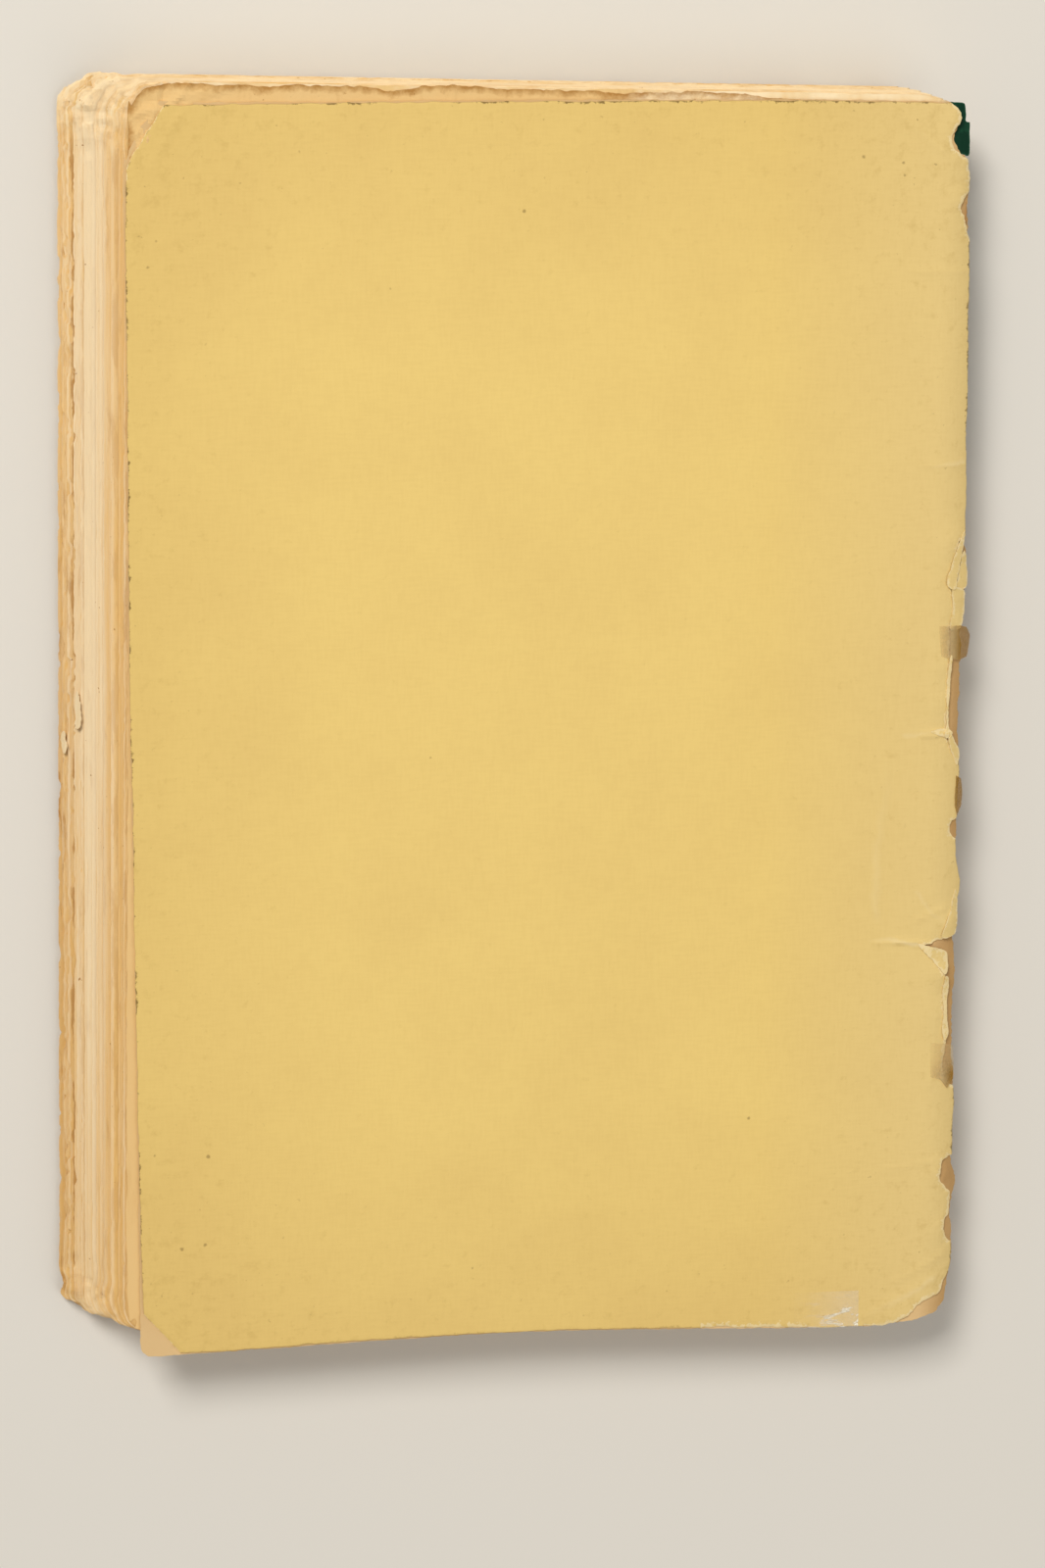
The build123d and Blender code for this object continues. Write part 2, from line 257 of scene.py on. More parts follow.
def reshaped(piece, change, finish=None):
    """Gives a piece its finish, applies its modifiers, then moves its points by the given change."""
    if finish:
        piece.data.materials.append(finish)
    evaluated = piece.evaluated_get(bpy.context.evaluated_depsgraph_get())
    mesh = bpy.data.meshes.new_from_object(evaluated)
    piece.modifiers.clear()
    piece.data = mesh
    mesh.name = piece.name
    points = np.zeros(len(mesh.vertices) * 3, np.float32)
    mesh.vertices.foreach_get("co", points)
    mesh.vertices.foreach_set("co", change(points.reshape(-1, 3)).astype(np.float32).ravel())
    mesh.update()
    return piece


def add(tree, kind, inputs=(), **settings):
    """Adds a node of a kind, or a Math node where the kind is an operation in capitals. Its inputs, in
    order or by name, are values, hex colours, or the nodes or sockets that feed them."""
    if kind.isupper():
        kind, settings["operation"] = "Math", kind
    if kind == "Mix":
        settings["data_type"] = "RGBA"
    node = tree.nodes.new(kind if "Node" in kind else f"ShaderNode{kind}")
    for key, value in settings.items():
        setattr(node, key, value)
    in_use = [socket for socket in node.inputs if socket.enabled]
    for key, value in inputs.items() if isinstance(inputs, dict) else enumerate(inputs):
        socket = node.inputs[key] if isinstance(key, str) else in_use[key]
        if isinstance(value, bpy.types.Node):
            value = next(output for output in value.outputs if output.enabled)
        if isinstance(value, bpy.types.NodeSocket):
            tree.links.new(value, socket)
        elif isinstance(value, str) and value.startswith("#"):
            socket.default_value = linear(value)
        else:
            socket.default_value = value
    return node


def linear(colour):
    """An sRGB hex colour as linear red, green, blue and alpha."""
    parts = [int(colour[k:k + 2], 16) / 255 for k in (1, 3, 5)]
    return (*[part / 12.92 if part <= 0.04045 else ((part + 0.055) / 1.055) ** 2.4 for part in parts], 1)


def new_finish(name):
    """An empty material, its tree, and places in millimetres about the middle of the cover."""
    material = bpy.data.materials.new(name)
    material.use_nodes = True
    tree = material.node_tree
    tree.nodes.clear()
    place = add(tree, "Mapping", {"Vector": add(tree, "TexCoord").outputs["Object"],
                                  "Location": (-COVER_X, -COVER_Y, 0), "Scale": (1 / MM,) * 3})
    return material, tree, place


def surfaced(tree, inputs, height=None, strength=0, depth=0):
    """Ends a material: its surface with these inputs, over relief of this strength and depth."""
    if height:
        bump = add(tree, "Bump", {"Strength": strength, "Distance": depth * MM, "Height": height})
        inputs["Normal"] = bump
    surface = add(tree, "BsdfPrincipled", inputs)
    add(tree, "OutputMaterial", [surface])


# Browned book paper: matt, soft to the light. Bundles of leaves are lighter or darker than
# their neighbours, the leaves beside a gap are browner and carry painted shade, and the head edges carry a
# painted highlight.
PAGE = "#E9C07A"
PAGE_DEEP = "#B57D3A"
PAGE_PALE = "#F3DDB6"
PAGE_HEAD_HIGHLIGHT = "#FCE7BE"
PAGE_STAIN = "#A87436"


def browned_paper(name, body, deep, pale):
    """Aged paper in three tones, with streaks that run along the fore edge."""
    material, tree, place = new_finish(name)
    tone, bloom, level, cracked, gap, held = (
        add(tree, "Attribute", attribute_name=key).outputs["Fac"]
        for key in ("leaf_tone", "bloom", "level", "cracked", "rim_gap", "brittle"))
    streak_place = add(tree, "Mapping", {"Vector": place, "Scale": (0.05, 0.02, 1.5)})
    streaks = add(tree, "TexNoise", [streak_place, 1, 4, 0.75])
    uneven = add(tree, "ADD", [tone, streaks])
    y = add(tree, "SeparateXYZ", [place]).outputs["Y"]
    tailward = add(tree, "MapRange", [y, -110, 10, -0.26, -0.62])
    whiter = add(tree, "MULTIPLY_ADD", [bloom, tailward, uneven])
    deepening = add(tree, "MapRange", [whiter, 0.3, 1])
    layered = add(tree, "Mix", [deepening, pale, body])
    # The leaves below the gaps between sections are painted darker in broken stretches of uneven width:
    # partly browned paper, partly painted shade that falls in the gaps.
    stretch = add(tree, "Mapping", {"Vector": place, "Scale": (0.5, 0.09, 0.9)})
    age = add(tree, "TexNoise", [stretch, 1, 5, 0.65])
    outer = add(tree, "MULTIPLY_ADD", [age, 2.4, level])
    beside_gap = add(tree, "MapRange", [outer, 1.75, 2])
    broken_stretch = add(tree, "MapRange", [age, 0.42, 0.52, 0, 0.95])
    broken_stretch_here = add(tree, "MULTIPLY", [broken_stretch, cracked])
    headless = add(tree, "MapRange", [y, 104, 112, 1, 0])
    gap_brown_and_shade_here = add(tree, "MULTIPLY", [beside_gap, broken_stretch_here])
    gap_brown_and_shade = add(tree, "MULTIPLY", [gap_brown_and_shade_here, headless])
    patchy = add(tree, "MapRange", [age, 0.56, 0.7, 0, 0.3])
    crumbling = add(tree, "MULTIPLY_ADD", [cracked, 2, 0.35])
    patches = add(tree, "MULTIPLY", [patchy, crumbling])
    # Where the fan was handled, below the upper third, the outer sections are browner all over.
    handled = add(tree, "MapRange", [y, 60, 5, 0, 0.16])
    tanned = add(tree, "MULTIPLY_ADD", [handled, cracked, patches])
    # This brown holds both the browned patches and the painted shade beside the gaps.
    brown = add(tree, "MAXIMUM", [gap_brown_and_shade, tanned])
    browned = add(tree, "Mix", [brown, layered, deep])
    # The ends that stand past the cover at the head are painted near white in streaks: a painted highlight
    # where their edges face the light.
    headward = add(tree, "MapRange", [y, 109, 116])
    highlight_streaks = add(tree, "MapRange", [streaks, 0.4, 0.58, 1, 0.15])
    head_highlight = add(tree, "MULTIPLY", [headward, highlight_streaks])
    bloomed = add(tree, "MapRange", [bloom, 0, 0.06])
    head_highlight_here = add(tree, "MULTIPLY", [head_highlight, bloomed])
    browned = add(tree, "Mix", [head_highlight_here, browned, PAGE_HEAD_HIGHLIGHT])
    spots = add(tree, "TexNoise", [place, 1 / 1.1, 2])
    fox = add(tree, "MapRange", [spots, 0.74, 0.79, 0, 0.8])
    foxed = add(tree, "Mix", [fox, browned, PAGE_STAIN])
    # A torn rim shows darker where the paper is most brittle.
    rim_noise = add(tree, "TexNoise", [place, 1 / 2.2, 5, 0.7])
    rim_depth = add(tree, "MULTIPLY_ADD", [rim_noise, -3.2, gap])
    brittle = add(tree, "MapRange", [rim_depth, -0.3, -1.7, 0, 0.9])
    rim_brown = add(tree, "MULTIPLY", [brittle, held])
    colour = add(tree, "Mix", [rim_brown, foxed, deep])
    # Fine fibres all over, and crumbs where the head has broken.
    fibres = add(tree, "TexNoise", [place, 2.5, 5])
    crumbs = add(tree, "TexNoise", [place, 1.1, 5, 0.7])
    crumbled = add(tree, "MapRange", [y, 106, 112, 0.5, 5])
    relief = add(tree, "MULTIPLY_ADD", [crumbs, crumbled, fibres])
    surfaced(tree, {"Base Color": colour, "Roughness": 0.85, "Specular IOR Level": 0.2}, relief, 0.35, 0.06)
    return material


page_paper = browned_paper("browned_book_paper", PAGE, PAGE_DEEP, PAGE_PALE)


def leaf_sheet(fore, head, chord, bloom, cracked):
    """One flat leaf of a section, with the zone at the spine that folds round."""
    fold = chord - FOLD_START
    end = fold + FOLD_COLUMNS[-1]
    tail = head - LEAF_HEIGHT

    def head_at(x):
        over = min(max(0, x - HEAD_WEAR_START), HEAD_WEAR_RADIUS)
        return head - HEAD_WEAR_RADIUS + math.sqrt(HEAD_WEAR_RADIUS**2 - over**2)

    rim = fore_side(fore, head, tail, HEAD_CORNER, TAIL_CORNER, 0.55)
    rim += spaced((fore + TAIL_CORNER, tail), (fold, tail), 1.1)
    rim += [np.array((fold + column, tail)) for column in (0, *FOLD_COLUMNS[:-1])]
    rim += spaced((end, tail), (end, head_at(end)), 8)
    rim += [np.array((fold + column, head_at(fold + column))) for column in FOLD_COLUMNS[::-1]]
    rim += [np.array((x, head_at(x))) for x in np.arange(fold, fore + HEAD_CORNER, -0.9)]
    rim = np.array(rim)
    points, faces, on_rim = filled(rim, ((0.8, 2), (3.5, 6)), 16)
    out = outward(rim)
    worn = np.zeros((len(points), 3))
    rim_points = on_rim >= 0
    worn[rim_points, :2] = out[on_rim[rim_points]]
    worn[points[:, 0] > fold - 1] = 0
    at_corner = np.clip(1.3 - np.linalg.norm(points - (fore + 2, head - 2), axis=1) / 9, 0, 1)
    worn *= 1 + 1.6 * at_corner[:, None]
    folding = np.clip((points[:, 0] - fold) / FOLD_COLUMNS[-1], 0, 1)
    return points, faces, {"worn": worn, "folding": folding, "bloom": np.full(len(points), bloom),
                           "cracked": np.full(len(points), cracked)}


def fan_tree():
    """The tree that stacks one leaf into a leaning section, folds its spine and breaks its edges."""
    tree = bpy.data.node_groups.new("fan_of_leaves", "GeometryNodeTree")
    sockets = {"Leaf": "Geometry", "Leaves": "Int", "Leaf Step": "Vector", "Fold Reach": "Float",
               "Fold Width": "Float", "Raggedness": "Float", "Chip Size": "Float", "Slip": "Float",
               "Seed": "Int", "Paper": "Material"}
    for name, kind in sockets.items():
        tree.interface.new_socket(name=name, in_out="INPUT", socket_type=f"NodeSocket{kind}")
    tree.interface.new_socket(name="Geometry", in_out="OUTPUT", socket_type="NodeSocketGeometry")
    given = add(tree, "NodeGroupInput").outputs
    # Each leaf's place in its section, from -1 at the lowest to 1 at the highest.
    number = add(tree, "GeometryNodeInputIndex")
    half = add(tree, "MULTIPLY", [given["Leaves"], 0.5])
    counted = add(tree, "ADD", [number, 0.5])
    centred = add(tree, "SUBTRACT", [counted, half])
    level = add(tree, "DIVIDE", [centred, half])
    spot = add(tree, "VectorMath", [given["Leaf Step"], centred], operation="SCALE")
    stack = add(tree, "GeometryNodePoints", {"Count": given["Leaves"], "Position": spot})
    copies = add(tree, "GeometryNodeInstanceOnPoints", {"Points": stack, "Instance": given["Leaf"]})
    # Leaves keep together in bundles of three or four, alike in tone and slipped by the same amount.
    seeded = add(tree, "MULTIPLY", [given["Seed"], 7.3])
    bundle = add(tree, "MULTIPLY_ADD", [number, 0.38, seeded])
    bundles = add(tree, "TexNoise", {"Scale": 1, "Detail": 3, "W": bundle}, noise_dimensions="1D")
    for key, value in (("level", level), ("leaf_tone", bundles)):
        copies = add(tree, "GeometryNodeStoreNamedAttribute",
                     {"Geometry": copies, "Name": key, "Value": value},
                     data_type="FLOAT", domain="INSTANCE")
    leaves = add(tree, "GeometryNodeRealizeInstances", [copies])
    # Brittle edges break back in small chips, and here and there in larger ones.
    position = add(tree, "GeometryNodeInputPosition")
    strata = add(tree, "VectorMath", [position, (1, 1, 2.4)], operation="MULTIPLY")
    chip_scale = add(tree, "DIVIDE", [1, given["Chip Size"]])
    flakes = add(tree, "TexVoronoi", {"Vector": strata, "W": given["Seed"], "Scale": chip_scale},
                 voronoi_dimensions="4D")
    chips = add(tree, "TexNoise", [strata, given["Seed"], chip_scale, 5, 0.7], noise_dimensions="4D")
    wide = add(tree, "VectorMath", [position, (0.16, 0.16, 0.9)], operation="MULTIPLY")
    losses = add(tree, "TexNoise", [wide, given["Seed"], 0.9, 3, 0.55], noise_dimensions="4D")
    loss = add(tree, "MapRange", [losses, 0.58, 0.72, 0, 1.2])
    flake = add(tree, "MapRange", [flakes.outputs["Color"], 0.62, 1])
    crumbs = add(tree, "MapRange", [chips, 0.45, 0.75, 0, 0.5])
    chip = add(tree, "ADD", [flake, crumbs])
    broken = add(tree, "ADD", [chip, loss])
    depth = add(tree, "MULTIPLY", [broken, given["Raggedness"]])
    inwards = add(tree, "MULTIPLY", [depth, -1])
    worn = add(tree, "GeometryNodeInputNamedAttribute", {"Name": "worn"}, data_type="FLOAT_VECTOR")
    break_back = add(tree, "VectorMath", [worn, inwards], operation="SCALE")
    chipped = add(tree, "GeometryNodeSetPosition", {"Geometry": leaves, "Offset": break_back})
    # Slipped leaves move at the fore edge only, because the fold holds them at the spine.
    shift, folding, height = (
        add(tree, "GeometryNodeInputNamedAttribute", {"Name": key}, data_type="FLOAT")
        for key in ("leaf_tone", "folding", "level"))
    uneven = add(tree, "MapRange", [shift, 0.3, 0.7, -0.5, 0.5])
    flat_x = add(tree, "SeparateXYZ", [position]).outputs["X"]
    loose = add(tree, "MapRange", [flat_x, -20, -60])
    slipped = add(tree, "MULTIPLY", [uneven, given["Slip"]])
    slipping = add(tree, "MULTIPLY", [slipped, loose])
    aside = add(tree, "CombineXYZ", [slipping])
    chipped = add(tree, "GeometryNodeSetPosition", {"Geometry": chipped, "Offset": aside})
    # At the spine each leaf turns a quarter round, to meet its partner in the middle of the fold.
    turn = add(tree, "MULTIPLY", [folding, math.pi / 2])
    sine = add(tree, "SINE", [turn])
    cosine = add(tree, "COSINE", [turn])
    fall = add(tree, "SUBTRACT", [1, cosine])
    away = add(tree, "ABSOLUTE", [height])
    reach = add(tree, "MULTIPLY", [away, given["Fold Reach"]])
    bulge = add(tree, "MULTIPLY", [reach, sine])
    flat = add(tree, "MULTIPLY", [folding, given["Fold Width"]])
    across = add(tree, "SUBTRACT", [bulge, flat])
    sideways = add(tree, "CombineXYZ", [across])
    rank = add(tree, "MULTIPLY", [height, half])
    back_down = add(tree, "MULTIPLY", [rank, fall])
    home = add(tree, "VectorMath", [given["Leaf Step"], back_down], operation="SCALE")
    fold_move = add(tree, "VectorMath", [sideways, home], operation="SUBTRACT")
    folded = add(tree, "GeometryNodeSetPosition", {"Geometry": chipped, "Offset": fold_move})
    papered = add(tree, "GeometryNodeSetMaterial", {"Geometry": folded, "Material": given["Paper"]})
    add(tree, "NodeGroupOutput", {"Geometry": papered})
    return tree


def near(points, middle, reach):
    """1 near a place, falling to 0 at one and a half times this reach."""
    return np.clip(1.5 - np.linalg.norm(points[:, :2] - middle, axis=1) / reach, 0, 1)


def crumpled(points):
    """Crumples the whole stack of leaves at its fore corners by the same folds, most at the head."""
    corner = sum(near(points, middle, reach) for middle, reach in CRUMPLES)
    points = points.copy()
    points[:, 0] += corner * 0.6 * ripple(points, 3.1, 151)
    points[:, 1] += corner * (0.4 * ripple(points, 2.3, 152) + 0.15 * ripple(points, 0.9, 154))
    points[:, 2] += corner * (0.38 * ripple(points, 2.7, 153) + 0.2 * ripple(points, 1.2, 155))
    return points


fan_of_leaves = fan_tree()
for number, overhang in enumerate(FORE_OVERHANG):
    middle = BLOCK_BOTTOM + (number + 0.5) * SECTION_THICKNESS
    fore = -SPINE_EDGE - overhang + LEAN * SECTION_THICKNESS / 2
    points, faces, attributes = leaf_sheet(fore, HEAD_EDGE + HEAD_OVERHANG[number], spine_chord(middle),
                                           BLOOM[number], CRACKED[number])
    flat_points = np.column_stack([points, np.full(len(points), middle)])
    section = new_piece(f"leaves_section_{number + 1}", flat_points, faces, attributes)
    fan = section.modifiers.new("fan", "NODES")
    fan.node_group = fan_of_leaves
    step = SECTION_THICKNESS / LEAVES_PER_SECTION
    values = {"Leaves": LEAVES_PER_SECTION, "Leaf Step": (LEAN * step, 0.0, step), "Fold Reach": FOLD_REACH,
              "Fold Width": FOLD_COLUMNS[-1], "Raggedness": RAGGEDNESS[number], "Chip Size": CHIP_SIZE,
              "Slip": SLIP[number], "Seed": 11 + number, "Paper": page_paper}
    for socket in fan_of_leaves.interface.items_tree:
        if socket.name in values:
            fan[socket.identifier] = values[socket.name]
    thicken(section, LEAF_THICKNESS, 0)

    def settle(points, middle=middle, fore=fore):
        """Lets the section gape unevenly towards the fore edge, and places it in the block."""
        open_edge = np.clip((fore + 25 - points[:, 0]) / 25, 0, 1)
        gape = GAPE * (1 + 0.9 * ripple(points, 17, 140 + number))
        points = points.copy()
        points[:, 2] = middle + (points[:, 2] - middle) * (1 - gape * open_edge)
        return placed(with_block(crumpled(points)))

    reshaped(section, settle)
    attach(section, "text_block")
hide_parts("text_block")


# The flyleaf: the last leaf of the book, browner than the rest because it lay against
# the cover. Its head edge has crumbled back unevenly, and its fore corner is crumpled.
FLYLEAF_TAN = "#E5BA78"
FLYLEAF_DEEP = "#B07C3A"
FLYLEAF_PALE = "#EAC588"
flyleaf_paper = browned_paper("browned_flyleaf", FLYLEAF_TAN, FLYLEAF_DEEP, FLYLEAF_PALE)
# Key points of the edge, in the block's own frame, from the spine's head round the fore edge.
FLYLEAF_RIM = ((70, 115.2), (38, 116.2), (30, 116.9), (8, 116.6), (-8, 116.9), (-24, 117.2),
               (-31, 116.1), (-40, 117.1), (-56, 116.6), (-65, 117), (-70.5, 116.9), (-74.5, 115.4),
               (-76.6, 112.6), (-77.2, 109), (-77.3, 60), (-77.1, 0), (-77.3, -60), (-77.1, -104),
               (-75.6, -108.6), (-72, -111), (-40, -111.2), (20, -111.2), (70, -111))


def smooth_path(points, spacing):
    """A smooth curve through key points, as about evenly spaced points without the last."""
    points = [np.asarray(point, float) for point in points]
    padded = [points[0], *points, points[-1]]
    path = []
    for a, b, c, d in zip(padded, padded[1:], padded[2:], padded[3:]):
        count = max(1, round(np.linalg.norm(c - b) / spacing))
        for k in range(count):
            t = k / count
            path.append(0.5 * (2 * b + (c - a) * t + (2 * a - 5 * b + 4 * c - d) * t**2
                               + (3 * b - a - 3 * c + d) * t**3))
    return np.array(path)


def frayed(rim, depth, size, seed):
    """A rim with its points moved in and out at random, by up to about this depth."""
    rim = np.asarray(rim, float)
    scales = enumerate((1, 3.1, 8.3))
    coarse, fine, finest = (ripple(rim, size / finer, seed + k, 200) for k, finer in scales)
    inward = (coarse + 0.6 * fine + 0.35 * finest) * depth
    return rim - outward(rim) * inward[:, None]


def sheet(name, rim, rings, grid, heights, thickness, along=None, zones=()):
    """A thin sheet cut to a rim. Its top is heights(points, number and gap of the nearest rim point)."""
    points, faces, on_rim = filled(rim, rings, grid, zones)
    nearest, gap = to_rim(rim, points)
    values = {"rim_gap": np.minimum(gap, 3), "rim_wear": np.clip(1 - gap / 0.3, 0, 1)}
    for key, at_rim in (along or {}).items():
        values[key] = np.asarray(at_rim, float)[nearest]
    piece = new_piece(name, np.column_stack([points, heights(points, nearest, gap)]), faces, values)
    thicken(piece, thickness, -1)
    return piece


FLYLEAF_CRUMPLE = (-75.5, 113.5)
# Creases that run out from the crumpled corner: from, to and height.
FLYLEAF_CREASES = (
    ((-76.4, 104), (-66, 117.4), 0.32), ((-75.8, 108), (-68.5, 115), 0.22),
    ((-74.4, 104.5), (-71.5, 116.8), 0.28), ((-77, 111), (-62, 116.4), 0.26),
    ((-76.6, 98), (-73, 106.5), 0.2), ((-69.5, 112.5), (-58, 116.9), 0.2),
    ((-75.4, 100), (-75.9, 114.5), 0.2), ((-73, 112), (-66.5, 113), 0.18),
)
fly_rim = np.concatenate([smooth_path(FLYLEAF_RIM, 0.5), spaced(FLYLEAF_RIM[-1], FLYLEAF_RIM[0], 4)])
fly_fray = np.where(fly_rim[:, 1] > 108, 0.3, 0.12) * (fly_rim[:, 0] < 68)
fly_rim = frayed(fly_rim, fly_fray, 4.2, 22)


def to_line(points, start, end):
    """How far points lie from a line, and how far along it they are, from 0 to 1."""
    run = np.subtract(end, start)
    share = np.clip((points - start) @ run / (run @ run), 0, 1)
    return np.linalg.norm(points - start - share[:, None] * run, axis=1), share


def flyleaf_top(points, nearest, gap):
    """Flat on the block, with folds at its corner and its crumbled head edge curling up a little."""
    loose = np.clip((points[:, 1] - 112) / 5, 0, 1)
    curl = 0.14 * np.clip(1 - gap / 0.9, 0, 1) * (0.4 + 0.6 * ripple(points, 4, 25)) * (points[:, 1] > 100)
    waves = 0.1 * loose * ripple(points, 6, 24)
    crumple = 0.42 * np.abs(ripple(points, 4.2, 26)) + 0.12 * np.abs(ripple(points, 2.1, 27))
    folds = sum(height * np.clip(1 - to_line(points, start, end)[0] / 0.9, 0, 1)
                for start, end, height in FLYLEAF_CREASES)
    return BLOCK_TOP + 0.08 + waves + curl + near(points, FLYLEAF_CRUMPLE, 10) * crumple + folds


# Its bloom, rising towards the spine, lightens it there and lets the painted highlight show along its head
# edge.
flyleaf = sheet("flyleaf", fly_rim, ((0.4, 1), (0.9, 2)), 9, flyleaf_top, LEAF_THICKNESS,
                {"brittle": (fly_rim[:, 1] > 90) * np.clip((60 - fly_rim[:, 0]) / 30, 0.3, 1),
                 "bloom": 0.7 * np.clip((fly_rim[:, 0] - 10) / 50, 0, 1)},
                [((-78.5, 96), (-58, 118), 0.55), ((-58, 112), (40, 118), 0.8)])
reshaped(flyleaf, lambda points: placed(with_block(points)), flyleaf_paper)
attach(flyleaf, "text_block")


# Flakes of leaf that have curled up on the fanned edges: the rim as it shows from the camera,
# the place that still holds, and how far the other end lifts.
CAMERA_SPOT = (-112.8, 128.1, 725.2)
LEAF_FLAKES = (
    (((-86.1, 10.8), (-86.6, 9.6), (-86.5, 6.4), (-86.7, 4.4), (-86, 3.9), (-85.5, 5.8), (-85.7, 9)),
     (-86.6, 8), 0.28),
    (((-88.7, 3.6), (-89.2, 2.4), (-89, 0.4), (-88.6, -0.3), (-88.2, 1.2), (-88.4, 2.7)), (-89, 2), 0.25),
)


def fan_height(points):
    """How high the fanned fore edges stand at these places."""
    flat = points[:, 0] - math.tan(-SKEW) * points[:, 1]
    edges = [-SPINE_EDGE - overhang for overhang in FORE_OVERHANG] + [-SPINE_EDGE - 0.6]
    heights = [BLOCK_BOTTOM + (number + 0.5) * SECTION_THICKNESS for number in range(len(FORE_OVERHANG))]
    return np.interp(flat, edges, heights + [BLOCK_TOP])


def lifting(points, hold, lift):
    """How far a flake stands off, from the place that holds to its far end."""
    share = np.linalg.norm(points - hold, axis=1)
    return lift * (share / share.max()) ** 1.6


def counter_clockwise(corners, spacing):
    """A closed smooth rim through corners, running counter-clockwise."""
    first, second = (max(1, round(math.dist(corners[k - 1], corners[k]) / spacing)) for k in (0, 1))
    rim = smooth_path([corners[-1], *corners, corners[0], corners[1]], spacing)[first:-second]
    area = np.sum(rim[:, 0] * np.roll(rim[:, 1], -1) - rim[:, 1] * np.roll(rim[:, 0], -1))
    return rim if area > 0 else rim[::-1]


for number, (corners, hold, lift) in enumerate(LEAF_FLAKES):
    rim = counter_clockwise(corners, 0.25)
    depth = (COVER_TOP - fan_height(rim))[:, None]
    rim = frayed(rim + (rim - CAMERA_SPOT[:2]) * depth / CAMERA_SPOT[2], 0.14, 1, 161 + 3 * number)

    def flake_top(points, nearest, gap, hold=hold, lift=lift):
        """Lies on the fan where it holds, and curls up towards its far end."""
        return fan_height(points) + 0.2 + lifting(points, hold, lift)

    flake = sheet(f"curled_leaf_flake_{number + 1}", rim, ((0.22, 1),), 0.45, flake_top, LEAF_THICKNESS,
                  {"bloom": np.full(len(rim), 0.6), "leaf_tone": np.full(len(rim), 0.35)})
    reshaped(flake, placed, page_paper)
    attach(flake, "text_block")


# The sewing cords: twisted hemp, laid in kerfs sawn across the folds and glued in. They are
# thin and plain, so they keep their first shape and only take this finish.
CORD_HEMP = "#C8B084"
CORD_DARK = "#8A6E42"
hemp, tree, place = new_finish("twisted_hemp")
twist = add(tree, "Mapping", {"Vector": place, "Rotation": (0, 0, 0.6)})
strands = add(tree, "TexWave", {"Vector": twist, "Scale": 1.3, "Distortion": 2, "Detail": 2}).outputs["Fac"]
twisted = add(tree, "Mix", [strands, CORD_DARK, CORD_HEMP])
surfaced(tree, {"Base Color": twisted, "Roughness": 0.9}, strands, 0.8, 0.2)
for name, node in frame["nodes"].items():
    if name.startswith("sewing_cord"):
        node.data.materials.clear()
        node.data.materials.append(hemp)


# The spine lining: brown kraft paper glued over the backs of the sections. It has taken
# the ridges of the folds and cracked across them.
KRAFT = "#B98D54"
KRAFT_DARK = "#7E5428"
GLUE = "#D9B67C"
LINING_THICKNESS = 0.5
CLOTH_THICKNESS = 0.35
LINING_RIM_GAP = 1.5
FOLD_CROWN = 0.6
RIDGE_RELIEF = 0.25
RIDGE_SEED = 33
LINING_TOP = 14.3
LINING_BOTTOM = BLOCK_BOTTOM - 0.1
SLOPE = math.atan(1 / LEAN)
LEAF_MIDDLE = HEAD_EDGE + HEAD_OVERHANG[0] - LEAF_HEIGHT / 2


def straight_sides(corners, spacing):
    """A rim with straight sides between corners."""
    corners = list(corners)
    return np.concatenate([spaced(a, b, spacing) for a, b in zip(corners, corners[1:] + corners[:1])])


def off_spine(height, offset):
    """How far across a layer on the leaning spine lies at a height, this far off its chord."""
    return spine_chord(height) + offset / math.sin(SLOPE)


def spine_strip(name, rim, offset, thickness):
    """A strip glued to the back of the sections, following their ridges."""
    points, faces, on_rim = filled(rim, ((0.4, 1),), 0.8)
    height, along = points.T
    ridges = -0.5 * RIDGE_RELIEF * (1 - np.cos(2 * math.pi * (height - BLOCK_BOTTOM) / SECTION_THICKNESS))
    lumps = 0.5 * RIDGE_RELIEF * ripple(points[:, ::-1], 3, RIDGE_SEED)
    lifted = offset - 0.2 + 0.5 * RIDGE_RELIEF + ridges + lumps
    laid = np.column_stack([off_spine(height, lifted), along, height])
    piece = new_piece(name, laid, faces, {"rim_wear": (on_rim >= 0).astype(float)})
    thicken(piece, thickness, -1)
    return piece


kraft, tree, place = new_finish("brown_kraft_paper")
patches = add(tree, "TexNoise", [place, 1 / 7, 5, 0.65])
glue_patches = add(tree, "MapRange", [patches, 0.4, 0.65])
glued = add(tree, "Mix", [glue_patches, KRAFT, KRAFT_DARK])
drips = add(tree, "TexNoise", [place, 1 / 2.4, 3])
glue_spots = add(tree, "MapRange", [drips, 0.6, 0.66])
kraft_colour = add(tree, "Mix", [glue_spots, glued, GLUE])
cracks = add(tree, "TexNoise", [place, 1 / 0.9, 6])
surfaced(tree, {"Base Color": kraft_colour, "Roughness": 0.75}, cracks, 0.6, 0.15)

lining_tail = LEAF_MIDDLE - LEAF_HEIGHT / 2 + LINING_RIM_GAP
lining_head = HEAD_EDGE + HEAD_OVERHANG[-1] - LINING_RIM_GAP
# Its upper head corner has gone, where the block's own corner is worn down.
lining_corners = ((LINING_BOTTOM, lining_tail), (LINING_TOP, lining_tail), (LINING_TOP, 98), (12.4, 103),
                  (11.6, 109), (9, 112), (LINING_BOTTOM, lining_head))
lining_rim = frayed(straight_sides(lining_corners, 0.5), 0.12, 3, 31)
spine_lining = spine_strip("kraft_lining", lining_rim, FOLD_CROWN + LINING_THICKNESS - 0.05,
                           LINING_THICKNESS - 0.2)
reshaped(spine_lining, lambda points: placed(skewed(points)), kraft)
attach(spine_lining, "text_block")
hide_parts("spine_lining")


